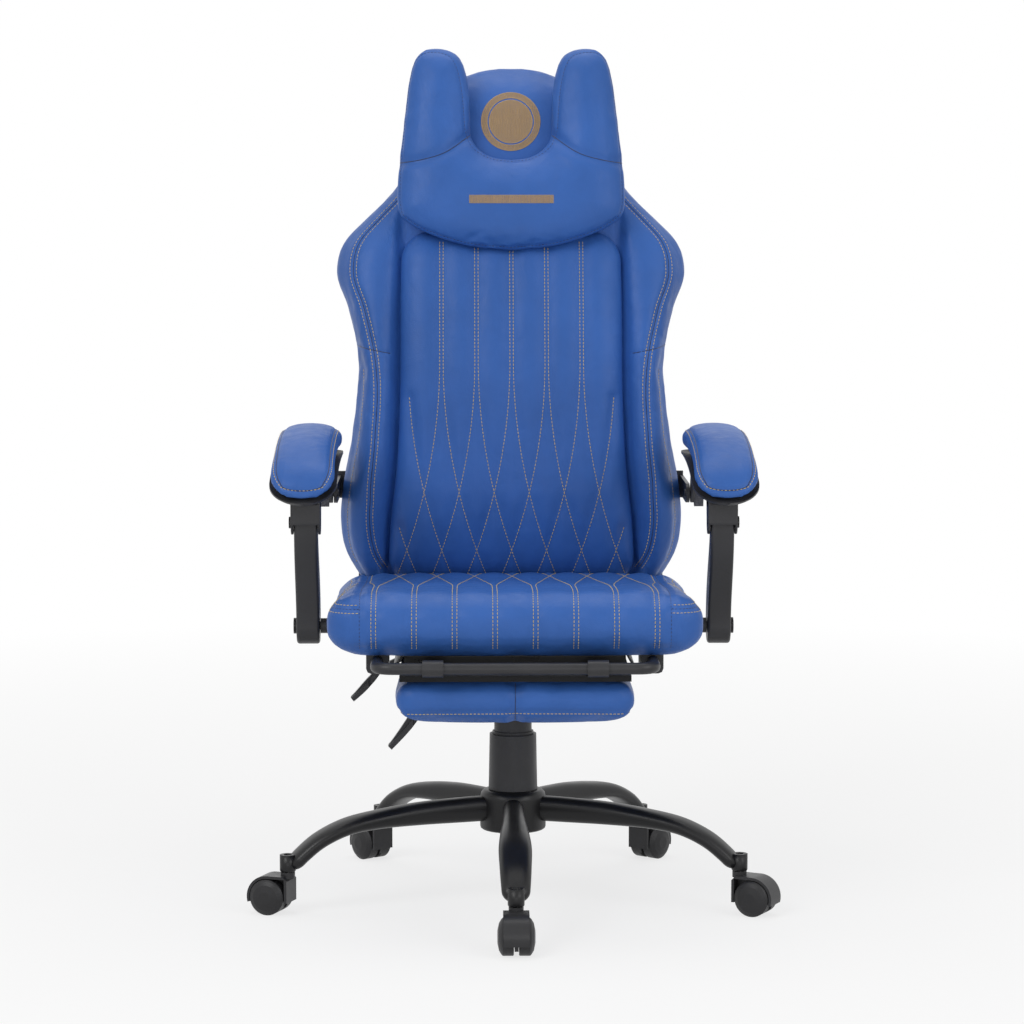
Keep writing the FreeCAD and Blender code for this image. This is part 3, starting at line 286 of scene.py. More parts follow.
def inflated(obj, net, pressure, cap, frames=20, shrink=0.0):
    """The pad swollen by air inside its cloth, with no point moving further than the cap."""
    material = obj.data.materials[0]
    renetted(obj, net)
    start = points_of(obj)
    cloth = obj.modifiers.new("stuffing", "CLOTH")
    s = cloth.settings
    s.quality = 4
    s.mass = 0.3
    s.tension_stiffness = s.compression_stiffness = 25
    s.shear_stiffness = 8
    s.bending_stiffness = 0.8
    s.use_pressure = True
    s.uniform_pressure_force = pressure
    s.shrink_min = shrink
    s.effector_weights.gravity = 0
    cloth.collision_settings.use_collision = False
    cloth.point_cache.frame_start, cloth.point_cache.frame_end = 1, frames
    scene = bpy.context.scene
    for step in range(1, frames + 1):
        scene.frame_set(step)
    finished(obj)
    scene.frame_set(1)
    moved = points_of(obj) - start
    far = np.linalg.norm(moved, axis=1)
    limit = cap * np.tanh(far / cap) / np.maximum(far, 1e-9)
    set_points(obj, start + moved * limit[:, None])
    refined(obj)
    obj.data.materials.clear()
    obj.data.materials.append(material)
    return obj


def carved(obj, paths, depth, width, step=0.003, only=None):
    """Sinks a soft valley along the paths, depth at its middle."""
    dots = np.vstack([evenly(p, step) for p in paths])
    tree = KDTree(len(dots))
    for i, p in enumerate(dots):
        tree.insert(p, i)
    tree.balance()
    points, normals = points_of(obj), normals_of(obj)
    gap = np.array([tree.find(p)[2] for p in points])
    sink = depth * np.exp(-((gap / width) ** 2))
    if only is not None:
        sink = sink * only(points)
    set_points(obj, points - normals * sink[:, None])
    return obj


class Surface:
    """Finds where straight lines meet a finished skin."""

    def __init__(self, obj):
        points = [Vector(p) for p in points_of(obj)]
        self.tree = BVHTree.FromPolygons(points, [tuple(f.vertices) for f in obj.data.polygons])

    def hit(self, start, direction, lift=0.0):
        place, normal, _, _ = self.tree.ray_cast(Vector(start), Vector(direction).normalized())
        if place is None:
            return None
        return place + normal * lift

    def lay(self, starts, directions, lift=0.0):
        """Paths of the points met, broken where nothing is met."""
        directions = np.broadcast_to(np.array(directions, float), np.shape(starts))
        runs, run = [], []
        for s, d in zip(starts, directions):
            place = self.hit(s, d, lift)
            if place is None or (run and (place - run[-1]).length > 0.03):
                if len(run) > 3:
                    runs.append(np.array(run))
                run = []
            if place is not None:
                run.append(place)
        if len(run) > 3:
            runs.append(np.array(run))
        return runs

    def nearest(self, path, lift=0.0):
        out = []
        for p in path:
            place, normal, _, _ = self.tree.find_nearest(Vector(p))
            out.append(place + normal * lift)
        return np.array(out)


# ---------------------------------------------------------------- stitching


def stitch_tree():
    """Stitches along every curve: short rounded threads, end to end."""
    if "Stitch rows" in bpy.data.node_groups:
        return bpy.data.node_groups["Stitch rows"]
    tree = bpy.data.node_groups.new("Stitch rows", "GeometryNodeTree")
    face = tree.interface
    face.new_socket("Geometry", in_out="INPUT", socket_type="NodeSocketGeometry")
    for name, value in (("Pitch", 0.0052), ("Stitch length", 0.0042), ("Thread thickness", 0.0011)):
        socket = face.new_socket(name, in_out="INPUT", socket_type="NodeSocketFloat")
        socket.default_value = value
        socket.subtype = "DISTANCE"
    face.new_socket("Thread", in_out="INPUT", socket_type="NodeSocketMaterial")
    face.new_socket("Geometry", in_out="OUTPUT", socket_type="NodeSocketGeometry")
    nodes, links = tree.nodes, tree.links
    source, sink = nodes.new("NodeGroupInput"), nodes.new("NodeGroupOutput")
    spaced = nodes.new("GeometryNodeResampleCurve")
    spaced.mode = "LENGTH"
    thread = nodes.new("GeometryNodeMeshUVSphere")
    thread.inputs["Segments"].default_value = 6
    thread.inputs["Rings"].default_value = 4
    thread.inputs["Radius"].default_value = 0.5
    size = nodes.new("ShaderNodeCombineXYZ")
    stretched = nodes.new("GeometryNodeTransform")
    tangent = nodes.new("GeometryNodeInputTangent")
    turn = nodes.new("FunctionNodeAlignRotationToVector")
    turn.axis = "Z"
    each = nodes.new("GeometryNodeInstanceOnPoints")
    real = nodes.new("GeometryNodeRealizeInstances")
    painted = nodes.new("GeometryNodeSetMaterial")
    links.new(source.outputs["Geometry"], spaced.inputs["Curve"])
    links.new(source.outputs["Pitch"], spaced.inputs["Length"])
    links.new(source.outputs["Thread thickness"], size.inputs["X"])
    links.new(source.outputs["Thread thickness"], size.inputs["Y"])
    links.new(source.outputs["Stitch length"], size.inputs["Z"])
    links.new(thread.outputs["Mesh"], stretched.inputs["Geometry"])
    links.new(size.outputs["Vector"], stretched.inputs["Scale"])
    links.new(spaced.outputs["Curve"], each.inputs["Points"])
    links.new(stretched.outputs["Geometry"], each.inputs["Instance"])
    links.new(tangent.outputs["Tangent"], turn.inputs["Vector"])
    links.new(turn.outputs["Rotation"], each.inputs["Rotation"])
    links.new(each.outputs["Instances"], real.inputs["Geometry"])
    links.new(real.outputs["Geometry"], painted.inputs["Geometry"])
    links.new(source.outputs["Thread"], painted.inputs["Material"])
    links.new(painted.outputs["Geometry"], sink.inputs["Geometry"])
    return tree


def curve_of(name, paths):
    curve = bpy.data.curves.new(name, "CURVE")
    curve.dimensions = "3D"
    for path in paths:
        line = curve.splines.new("POLY")
        line.points.add(len(path) - 1)
        line.points.foreach_set("co", np.column_stack([path, np.ones(len(path))]).ravel())
    obj = bpy.data.objects.new(name, curve)
    bpy.context.scene.collection.objects.link(obj)
    return obj


def made_mesh(obj, name, material):
    depsgraph = bpy.context.evaluated_depsgraph_get()
    mesh = bpy.data.meshes.new_from_object(obj.evaluated_get(depsgraph))
    obj.modifiers.clear()
    bpy.data.objects.remove(obj)
    return placed(name, mesh, material)


def stitched(name, paths, body, material, pitch=None, length=None, thickness=None):
    """Rows of stitches along the paths, as one piece on its body."""
    sizes = bpy.context.scene.chair_sizes
    rows = curve_of(name + "_rows", [evenly(p, 0.002) for p in paths if len(p) > 3])
    modifier = rows.modifiers.new("stitches", "NODES")
    modifier.node_group = stitch_tree()
    values = {
        "Pitch": pitch or sizes.stitch_pitch,
        "Stitch length": length or sizes.stitch_length,
        "Thread thickness": thickness or sizes.thread_thickness,
        "Thread": material,
    }
    for socket in modifier.node_group.interface.items_tree:
        if socket.in_out == "INPUT" and socket.name in values:
            modifier[socket.identifier] = values[socket.name]
    obj = made_mesh(rows, name, material)
    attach(obj, body)
    return obj


def piped(name, paths, body, material, radius=0.0009):
    """A thin cord of thread sunk in a seam."""
    line = curve_of(name + "_line", [evenly(p, 0.004) for p in paths if len(p) > 3])
    line.data.bevel_depth = radius
    line.data.bevel_resolution = 1
    line.data.use_fill_caps = True
    obj = made_mesh(line, name, material)
    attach(obj, body)
    return obj


def beside(path, offset, surface_normal):
    """The path again, moved sideways on its surface."""
    path = np.array(path, float)
    tangent = np.gradient(path, axis=0)
    side = np.cross(tangent, surface_normal)
    side /= np.maximum(np.linalg.norm(side, axis=1), 1e-9)[:, None]
    return path + side * offset


# ---------------------------------------------------------------- finishes


def nodes_for(name, roughness, metallic=0.0, specular=0.5):
    material = bpy.data.materials.new(name)
    material.use_nodes = True
    shader = material.node_tree.nodes["Principled BSDF"]
    shader.inputs["Metallic"].default_value = metallic
    shader.inputs["Roughness"].default_value = roughness
    shader.inputs["Specular IOR Level"].default_value = specular
    return material, material.node_tree.nodes, material.node_tree.links, shader


def pattern(nodes, links, kind, scale, **inputs):
    """A noise, cell or wave pattern on the object's own metres."""
    place = nodes.get("Place") or nodes.new("ShaderNodeTexCoord")
    place.name = "Place"
    node = nodes.new({"noise": "ShaderNodeTexNoise", "cells": "ShaderNodeTexVoronoi", "wave": "ShaderNodeTexWave"}[kind])
    node.inputs["Scale"].default_value = scale
    for key, value in inputs.items():
        node.inputs[key].default_value = value
    links.new(place.outputs["Object"], node.inputs["Vector"])
    return node


def spread(nodes, links, source, low, high, start=0.3, end=0.7):
    node = nodes.new("ShaderNodeMapRange")
    node.inputs["From Min"].default_value, node.inputs["From Max"].default_value = start, end
    node.inputs["To Min"].default_value, node.inputs["To Max"].default_value = low, high
    links.new(source, node.inputs["Value"])
    return node.outputs["Result"]


def tinted(nodes, links, shader, factor, dark, light):
    """Colour that drifts between two near tones."""
    ramp = nodes.new("ShaderNodeMix")
    ramp.data_type = "RGBA"
    ramp.inputs[6].default_value = (*dark, 1)
    ramp.inputs[7].default_value = (*light, 1)
    links.new(factor, ramp.inputs[0])
    links.new(ramp.outputs[2], shader.inputs["Base Color"])
    return ramp


def bumped(nodes, links, shader, layers):
    """Several heights added as bumps, each (socket, strength, depth in metres)."""
    last = None
    for height, strength, depth in layers:
        bump = nodes.new("ShaderNodeBump")
        bump.inputs["Strength"].default_value = strength
        bump.inputs["Distance"].default_value = depth
        links.new(height, bump.inputs["Height"])
        if last:
            links.new(last, bump.inputs["Normal"])
        last = bump.outputs["Normal"]
    links.new(last, shader.inputs["Normal"])


def shade(colour, times):
    return tuple(min(1.0, c * times) for c in colour)


def leather(colour):
    material, nodes, links, shader = nodes_for("leather_blue_grain", 0.42, specular=0.22)
    drift = pattern(nodes, links, "noise", 9, Detail=4, Roughness=0.6)
    tinted(nodes, links, shader, spread(nodes, links, drift.outputs[0], 0, 1), shade(colour, 0.9), shade(colour, 1.1))
    grain = pattern(nodes, links, "cells", 620, Randomness=0.9)
    pores = pattern(nodes, links, "noise", 1400, Detail=2)
    folds = pattern(nodes, links, "noise", 26, Detail=3, Distortion=0.8)
    rub = pattern(nodes, links, "noise", 60, Detail=3)
    links.new(spread(nodes, links, rub.outputs[0], 0.37, 0.49), shader.inputs["Roughness"])
    bumped(
        nodes,
        links,
        shader,
        ((folds.outputs[0], 0.35, 0.004), (grain.outputs["Distance"], 0.35, 0.0004), (pores.outputs[0], 0.2, 0.0002)),
    )
    return material


def thread(name, colour, roughness=0.6):
    material, nodes, links, shader = nodes_for(name, roughness, specular=0.35)
    twist = pattern(nodes, links, "wave", 700, Distortion=1.5, Detail=1)
    tinted(nodes, links, shader, twist.outputs["Fac"], shade(colour, 0.75), shade(colour, 1.15))
    bumped(nodes, links, shader, ((twist.outputs["Fac"], 0.5, 0.0003),))
    shader.inputs["Sheen Weight"].default_value = 0.3
    return material


def satin_thread(colour):
    material, nodes, links, shader = nodes_for("embroidery_gold", 0.42, specular=0.5)
    rows = pattern(nodes, links, "wave", 260, Distortion=0.6, Detail=1)
    tinted(nodes, links, shader, rows.outputs["Fac"], shade(colour, 0.6), shade(colour, 1.2))
    bumped(nodes, links, shader, ((rows.outputs["Fac"], 0.7, 0.0006),))
    shader.inputs["Sheen Weight"].default_value = 0.25
    return material


def powder_coat(name, colour, roughness):
    """Baked paint with orange-peel and a little dust in its texture."""
    material, nodes, links, shader = nodes_for(name, roughness, specular=0.3)
    drift = pattern(nodes, links, "noise", 14, Detail=4)
    tinted(nodes, links, shader, spread(nodes, links, drift.outputs[0], 0, 1), shade(colour, 0.85), shade(colour, 1.2))
    peel = pattern(nodes, links, "noise", 520, Detail=2)
    links.new(spread(nodes, links, drift.outputs[0], roughness - 0.05, roughness + 0.06), shader.inputs["Roughness"])
    bumped(nodes, links, shader, ((peel.outputs[0], 0.25, 0.0003),))
    return material


def moulded(name, colour, roughness, grain=900, painted_glint=0.0):
    """Moulded plastic with a fine spark-eroded texture and, if asked, painted glints: pale and dark specks in its
    colour that stand for highlights and shade caught by that texture.
    """
    material, nodes, links, shader = nodes_for(name, roughness, specular=0.32)
    drift = pattern(nodes, links, "noise", 22, Detail=5)
    factor = spread(nodes, links, drift.outputs[0], 0, 1)
    # painted glints: the pale specks are painted highlights on the textured plastic, the dark ones painted shade
    if painted_glint:
        dots = pattern(nodes, links, "noise", 480, Detail=3)
        factor = spread(nodes, links, dots.outputs[0], 0, 1, 0.42, 0.62)
    tinted(nodes, links, shader, factor, shade(colour, 0.85 - painted_glint), shade(colour, 1.15 + painted_glint))
    fine = pattern(nodes, links, "cells", grain)
    links.new(spread(nodes, links, drift.outputs[0], roughness - 0.06, roughness + 0.08), shader.inputs["Roughness"])
    bumped(nodes, links, shader, ((fine.outputs["Distance"], 0.3, 0.00025),))
    return material


def worn_steel(colour):
    material, nodes, links, shader = nodes_for("zinc_steel", 0.32, metallic=1.0)
    marks = pattern(nodes, links, "noise", 240, Detail=6)
    tinted(nodes, links, shader, spread(nodes, links, marks.outputs[0], 0, 1), shade(colour, 0.8), shade(colour, 1.1))
    links.new(spread(nodes, links, marks.outputs[0], 0.25, 0.42), shader.inputs["Roughness"])
    bumped(nodes, links, shader, ((marks.outputs[0], 0.2, 0.0002),))
    return material


def layered_wood(colour):
    material, nodes, links, shader = nodes_for("plywood_layers", 0.6)
    rings = pattern(nodes, links, "wave", 55, Distortion=6, Detail=3)
    tinted(nodes, links, shader, rings.outputs["Fac"], shade(colour, 0.75), shade(colour, 1.1))
    bumped(nodes, links, shader, ((rings.outputs["Fac"], 0.3, 0.0004),))
    return material


def woven(name, colour, scale):
    """Two crossing sets of yarn."""
    material, nodes, links, shader = nodes_for(name, 0.75, specular=0.25)
    warp = pattern(nodes, links, "wave", scale, Distortion=0.3)
    weft = pattern(nodes, links, "wave", scale, Distortion=0.3)
    weft.bands_direction = "Z"
    yarn = nodes.new("ShaderNodeMath")
    yarn.operation = "MULTIPLY"
    links.new(warp.outputs["Fac"], yarn.inputs[0])
    links.new(weft.outputs["Fac"], yarn.inputs[1])
    tinted(nodes, links, shader, yarn.outputs[0], shade(colour, 0.7), shade(colour, 1.5))
    bumped(nodes, links, shader, ((yarn.outputs[0], 0.6, 0.0005),))
    shader.inputs["Sheen Weight"].default_value = 0.2
    return material


FINISH = {}


def finishes():
    """Every finish, made once."""
    if FINISH:
        return FINISH
    c = bpy.context.scene.chair_colours
    FINISH.update(
        leather=leather(c.leather),
        seam=thread("seam_thread_navy", c.seam),
        stitch=thread("stitch_thread_sand", c.stitch),
        embroidery=satin_thread(c.embroidery),
        frame_black=powder_coat("paint_frame_black", c.frame, 0.36),
        tube_black=powder_coat("paint_tube_black", shade(c.frame, 0.34), 0.3),
        base_black=powder_coat("paint_base_black", shade(c.frame, 0.30), 0.34),
        cover_black=moulded("plastic_cover_black", c.cover, 0.42),
        caster_black=moulded("plastic_caster_black", shade(c.cover, 0.75), 0.36),
        wheel_black=moulded("nylon_wheel_black", shade(c.cover, 0.55), 0.45, grain=500),
        # painted light: black tray plastic coloured grey as if lit from the side, with painted glints
        grey_plastic=moulded("plastic_tray_painted_lit_grey", c.tray, 0.5, painted_glint=0.12),
        bush_plastic=moulded("plastic_bush", (0.55, 0.55, 0.5), 0.4),
        bare_steel=worn_steel((0.55, 0.55, 0.56)),
        plywood=layered_wood((0.52, 0.36, 0.2)),
        elastic_black=woven("elastic_weave_black", (0.02, 0.02, 0.022), 900),
        backing=woven("backing_cloth_black", (0.018, 0.018, 0.02), 1300),
    )
    return FINISH


# ---------------------------------------------------------------- backrest


def back_values(z):
    half, front, rear = (along(BACK_STATIONS, z, k) for k in (1, 2, 3))
    return half, front, rear


def back_ring(z, count=160):
    """Outline of the backrest at one height, with its bolsters and the valley beside the centre panel."""
    half, front, rear = back_values(z)
    panel = min(float(along(PANEL_HALVES, z)), half * 0.8)
    fade = 1 - float(ease((z - 0.90) / 0.09))
    proud = 0.008 + 0.012 * math.exp(-(((z - 0.60) / 0.16) ** 2)) * fade + 0.003 * fade
    sunk = 0.016 * fade
    depth = rear - front
    end = math.sqrt(max(0.03, 1 - max(0.0, (z - 1.120) / 0.057) ** 2.4))
    right = [
        (0.0, front + 0.75 * sunk - 0.004 * (1 - fade)),
        (panel - 0.03, front + 0.75 * sunk - 0.002 * (1 - fade)),
        (panel + 0.001, front + sunk),
        (panel + 0.012, front + 0.002 * fade - 0.5 * proud),
        (panel + (half - panel) * 0.42, front - proud * fade),
        (panel + (half - panel) * 0.70, front - 0.55 * proud * fade + 0.002),
        (half - 0.013, front + 0.2 * depth * (0.5 + 0.5 * fade)),
        (half - 0.001, front + 0.45 * depth),
        (half - 0.003, front + 0.68 * depth),
        (half - 0.016, rear - 0.010),
        (half - 0.045, rear + 0.001),
        (half * 0.5, rear + 0.003),
        (0.0, rear + 0.004),
    ]
    curve = spline_through(right, count // 2 + 1)
    mid = 0.5 * (front + rear)
    curve[:, 1] = mid + (curve[:, 1] - mid) * end
    left = curve[-2:0:-1] * (-1, 1)
    loop = np.vstack([curve, left])
    return np.column_stack([loop, np.full(len(loop), z)])


def back_cover():
    material = finishes()["leather"]
    low, high = BACK_STATIONS[0][0], BACK_STATIONS[-1][0]
    heights = np.linspace(low, high, 150)
    rings = []
    for shrink, z in [(0.60, low), (0.94, low + 0.0015)]:
        ring = back_ring(low)
        mid = ring.mean(0)
        rings.append(np.column_stack([mid[:2] + (ring[:, :2] - mid[:2]) * shrink, np.full(len(ring), z)]))
    for z in heights[1:]:
        rings.append(back_ring(z))
    top = rings[-1]
    mid = top.mean(0)
    for shrink, up in ((0.8, 0.004), (0.4, 0.007)):
        ring = mid + (top - mid) * shrink
        ring[:, 2] += up
        rings.append(ring)
    cover = skinned("backrest_cover", rings, material)
    inflated(cover, 0.006, 3.0, 0.006, frames=14)
    return cover


def edge_inset(z):
    """How far the long bolster seam lies inside the edge."""
    return np.interp(z, (0.45, 0.55, 0.65, 0.745, 0.885, 1.02), (0.047, 0.043, 0.034, 0.030, 0.028, 0.022))


def from_front(xs, zs, depth=-0.4):
    xs, zs = np.broadcast_arrays(xs, zs)
    return np.column_stack([xs, np.full(len(xs), depth), zs])


def panel_front(z):
    return along(BACK_STATIONS, z, 2) - 0.021


def centre_panel():
    """The quilted middle of the backrest, a crowned pad that follows its curve."""
    low, high = 0.424, 0.940
    tall, mid = 0.5 * (high - low), 0.5 * (high + low)
    panel = rounded_block("backrest_centre", (0.166, 0.026, tall), (0.040, 0.024, 0.045), (76, 10, 150), finishes()["leather"])
    p = points_of(panel)
    z = p[:, 2] + mid
    share = p[:, 0] / 0.166
    swell = 0.006 * (1 - share**2) * (p[:, 1] < 0)
    p[:, 0] = share * along(PANEL_HALVES, z)
    p[:, 1] += panel_front(z) + 0.026 - swell
    p[:, 2] = z
    set_points(panel, p)
    return panel


def strands(offsets, run, start, bend=6.4, gap=0.0025):
    """Pairs of sideways places along a run: close together first, then parting as a bow."""
    past = np.maximum(0.0, run - start)
    out = []
    for x in offsets:
        for side in (-1, 1):
            out.append(x + side * (gap + bend * past**2 / 10))
    return out


def back_panel_rows():
    pitch = bpy.context.scene.chair_sizes.back_channel_pitch
    z = np.linspace(0.925, 0.442, 180)
    return z, strands([(i - 3) * pitch for i in range(-1, 9)], 0.755 - z, 0.0)


def inside(z, x, halves, margin):
    return np.abs(x) < along(halves, z) - margin


def build_backrest():
    f = finishes()
    cover = back_cover()
    panel = centre_panel()
    z, sides = back_panel_rows()
    skin = Surface(panel)
    rows, channels = [], []
    for x in sides:
        keep = inside(z, x, PANEL_HALVES, 0.014)
        for part in np.split(np.arange(len(z)), np.where(np.diff(keep.astype(int)) != 0)[0] + 1):
            if len(part) > 4 and keep[part[0]]:
                rows.append((x[part], z[part]))
    for x, zz in rows:
        channels += skin.lay(from_front(x, zz), (0, 1, 0))
    carved(panel, channels, 0.0032, 0.011)
    carved(panel, channels, 0.0012, 0.0028)
    skin = Surface(panel)
    sewn = []
    for x, zz in rows:
        sewn += skin.lay(from_front(x, zz), (0, 1, 0), 0.0001)
    stitched("backrest_centre_stitches", sewn, "back", f["stitch"])

    skin = Surface(cover)
    zs = np.linspace(0.452, 1.01, 160)
    half = along(BACK_STATIONS, zs)
    seams, flat = [], []
    for side in (-1, 1):
        seams += skin.lay(from_front(side * (half - edge_inset(zs)), zs), (0, 1, 0))
        zc = np.linspace(0, 1, 30)
        lo, hi = 0.176, float(along(BACK_STATIONS, 0.772)) - 0.002
        flat += skin.lay(from_front(side * (lo + (hi - lo) * zc), 0.766 + 0.010 * zc), (0, 1, 0))
    carved(cover, seams, 0.0022, 0.006)
    carved(cover, seams + flat, 0.0016, 0.0022)
    skin = Surface(cover)
    seams, rows, cross = [], [], []
    for side in (-1, 1):
        x = side * (half - edge_inset(zs))
        seams += skin.lay(from_front(x, zs), (0, 1, 0), -0.0002)
        for gap in (-0.0048, 0.0048):
            rows += skin.lay(from_front(x + gap, zs), (0, 1, 0), 0.0001)
        zc = np.linspace(0, 1, 30)
        hi = float(along(BACK_STATIONS, 0.772)) - 0.002
        cross += skin.lay(from_front(side * (lo + (hi - lo) * zc), 0.766 + 0.010 * zc), (0, 1, 0), -0.0002)
        low_z = np.linspace(0.46, 0.74, 90)
        edge = along(BACK_STATIONS, low_z) - 0.011
        rows += skin.lay(from_front(side * edge, low_z), (0, 1, 0), 0.0001)
    piped("backrest_seams", seams + cross, "back", f["seam"], 0.0007)
    stitched("backrest_bolster_stitches", rows, "back", f["stitch"])
    # rear face: a yoke seam and two long seams
    yoke = skin.lay(np.column_stack([np.linspace(-0.2, 0.2, 60), np.full(60, 0.8), np.full(60, 0.80)]), (0, -1, 0), 0.0)
    carved(cover, yoke, 0.0015, 0.003)
    skin = Surface(cover)
    yoke = skin.lay(np.column_stack([np.linspace(-0.215, 0.215, 60), np.full(60, 0.8), np.full(60, 0.80)]), (0, -1, 0), 0.0)
    piped("backrest_rear_seam", yoke, "back", f["seam"], 0.0007)
    rear = []
    for gap in (-0.0055, 0.0055):
        rear += skin.lay(
            np.column_stack([np.linspace(-0.213, 0.213, 60), np.full(60, 0.8), np.full(60, 0.80 + gap)]), (0, -1, 0), 0.0001
        )
    stitched("backrest_rear_stitches", rear, "back", f["stitch"])
    for obj, node in ((cover, "back_cushion"), (panel, "back_panel")):
        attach(obj, "back")
        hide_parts(node)


def build_emblem():
    """A plain embroidered disc with one open ring in it, on the headrest between the horns."""
    f = finishes()
    skin = Surface(bpy.data.objects["backrest_cover"])
    centre, outer, ring = 1.101, 0.0425, (0.0315, 0.0345)
    rows = []
    for up in np.arange(-outer + 0.0006, outer, 0.0012):
        reach = math.sqrt(outer**2 - up**2)
        x = np.linspace(-reach, reach, 60)
        off = np.hypot(x, up)
        keep = (off < ring[0]) | (off > ring[1])
        for part in np.split(np.arange(len(x)), np.where(np.diff(keep.astype(int)) != 0)[0] + 1):
            if keep[part[0]] and len(part) > 4:
                rows += skin.lay(from_front(x[part], centre + up), (0, 1, 0), 0.0002)
    turns = np.linspace(0, 2 * np.pi, 73)
    for radius in (outer, *ring):
        rows += skin.lay(from_front(radius * np.cos(turns), centre + radius * np.sin(turns)), (0, 1, 0), 0.0003)
    stitched("headrest_emblem", rows, "back", f["embroidery"], pitch=0.0022, length=0.0029, thickness=0.0012)


# ---------------------------------------------------------------- seat

SEAT_HALF = (0.2545, 0.2225, 0.0415)
SEAT_MIDDLE = (0.0, -0.0395, 0.4235)


def seat_shape():
    seat = rounded_block("seat_cover", SEAT_HALF, (0.046, 0.034, 0.032), (100, 88, 20), finishes()["leather"])
    p = points_of(seat)
    x, y = p[:, 0] / SEAT_HALF[0], p[:, 1] / SEAT_HALF[1]
    upper = p[:, 2] > 0
    crown = (1 - np.clip(np.abs(x), 0, 1) ** 4) * (1 - np.clip(np.abs(y), 0, 1) ** 6)
    p[:, 2] += np.where(upper, 0.002 * crown - 0.003 - 0.018 * ease((y + 0.9) / 1.5), 0.002 * (1 - crown))
    front = 1 - ease((y + 1) / 0.35)
    p[:, 1] -= 0.004 * front * (1 - np.abs(x) ** 3) * (1 - np.abs(p[:, 2] / SEAT_HALF[2]) ** 2)
    set_points(seat, p + np.array(SEAT_MIDDLE))
    return inflated(seat, 0.006, 3.0, 0.004, frames=14)


def over_nose(skin, side_of, lift=0.0, y_end=0.15):
    """A line up the seat's front, over its nose and back along its top. side_of gives the sideways place for each run."""
    face = np.linspace(0.393, 0.428, 14)
    turn = np.linspace(0, np.pi / 2, 22)
    back = np.linspace(-0.221, y_end, 90)
    starts, ways = [], []
    for z in face:
        starts.append((0, -0.5, z))
        ways.append((0, 1, 0))
    for a in turn:
        ways.append((0, math.cos(a), -math.sin(a)))
        starts.append((0, -0.222 - 0.2 * math.cos(a), 0.428 + 0.2 * math.sin(a)))
    for y in back:
        starts.append((0, y, 0.6))
        ways.append((0, 0, -1))
    starts = np.array(starts)
    run = np.concatenate([np.zeros(len(face) + len(turn)), back - back[0]])
    starts[:, 0] = side_of(run)
    return skin.lay(starts, np.array(ways), lift)


def build_seat():
    f = finishes()
    seat = seat_shape()
    pitch = bpy.context.scene.chair_sizes.seat_channel_pitch
    seam_at = 0.208

    def strand(x0, side):
        return lambda run: np.clip(x0 + side * (0.0031 + 0.50 * np.maximum(0, run - 0.11) ** 2), -seam_at + 0.006, seam_at - 0.006)

    lines = [strand((i - 3.5) * pitch, side) for i in range(8) for side in (-1, 1)]
    seam_lines = [lambda run, s=s: np.full(len(run), s * seam_at) for s in (-1, 1)]
    skin = Surface(seat)
    channels = [r for line in lines for r in over_nose(skin, line)]
    seams = [r for line in seam_lines for r in over_nose(skin, line)]
    carved(seat, channels, 0.0018, 0.010)
    carved(seat, channels, 0.0010, 0.0028)
    carved(seat, seams, 0.003, 0.007)

    # a seam round both sides, half way up the bolsters
    def rim(skin, z, lift=0.0):
        out = []
        for side in (-1, 1):
            angles = np.linspace(math.radians(-2), math.radians(150), 120)
            centre = np.array((side * 0.16, -0.09))
            starts, ways = [], []
            for a in angles:
                way = np.array((side * math.sin(a), -math.cos(a)))
                if a > math.pi / 2:
                    way = np.array((side * 1.0, 0.0))
                base = centre + (0, max(0.0, a - math.pi / 2) * 0.20)
                starts.append((*(base + way * 0.4), z))
                ways.append((*-way, 0))
            out += skin.lay(np.array(starts), np.array(ways), lift)
        return [r for r in out if len(r) > 3]

    skin = Surface(seat)
    rim_seam = rim(skin, 0.446)
    rim_seam = [r[np.abs(r[:, 0]) > seam_at] for r in rim_seam]
    carved(seat, [r for r in rim_seam if len(r) > 3], 0.002, 0.004)
    skin = Surface(seat)
    sewn = [r for line in lines for r in over_nose(skin, line, 0.0001)]
    side_rows = []
    for dz in (-0.005, 0.005):
        side_rows += [r[np.abs(r[:, 0]) > seam_at + 0.003] for r in rim(skin, 0.446 + dz, 0.0001)]
    dark = [r for line in seam_lines for r in over_nose(skin, line, -0.0002)]
    dark += [r[np.abs(r[:, 0]) > seam_at] for r in rim(skin, 0.446, -0.0002)]
    stitched("seat_top_stitches", sewn, "seat_unit", f["stitch"])
    stitched("seat_side_stitches", [r for r in side_rows if len(r) > 3], "seat_unit", f["stitch"])
    stitched("seat_seams", [r for r in dark if len(r) > 3], "seat_unit", f["seam"])
    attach(seat, "seat_unit")
    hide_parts("seat_cushion")


# turned-down front edge of the pressed tray, between the seat's underside and the footrest's tube
TRAY_LIP_HALF = (0.150, 0.0015, 0.0115)
TRAY_LIP_MIDDLE = (0.0, -0.207, 0.370)


def build_tray_lip():
    lip = rounded_block("tray_lip", TRAY_LIP_HALF, (0.006, 0.0012, 0.006), (60, 4, 10), finishes()["tube_black"])
    set_points(lip, points_of(lip) + np.array(TRAY_LIP_MIDDLE))
    shade_flat_sides(lip)
    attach(lip, "seat_unit")


# ---------------------------------------------------------------- head pillow

# right half of the pillow's outline: sideways, height before it is laid back
PILLOW_OUTLINE = (
    (0.0, 0.912), (0.06, 0.918), (0.11, 0.932), (0.148, 0.950), (0.166, 0.972), (0.167, 1.03), (0.163, 1.08),
    (0.159, 1.12), (0.153, 1.165), (0.144, 1.193), (0.128, 1.206), (0.104, 1.207), (0.084, 1.199), (0.073, 1.180),
    (0.066, 1.150), (0.0625, 1.115), (0.060, 1.086), (0.050, 1.066), (0.028, 1.053), (0.0, 1.049),
)
PILLOW_THICK = 0.030


def pillow_outline(count=240):
    half = spline_through(PILLOW_OUTLINE, count // 2 + 1)
    return np.vstack([half, half[-2:0:-1] * (-1, 1)])


def pillow_back(z):
    """Where the pillow's rear meets the leaning headrest."""
    return 0.205 + (z - 0.885) * LEAN


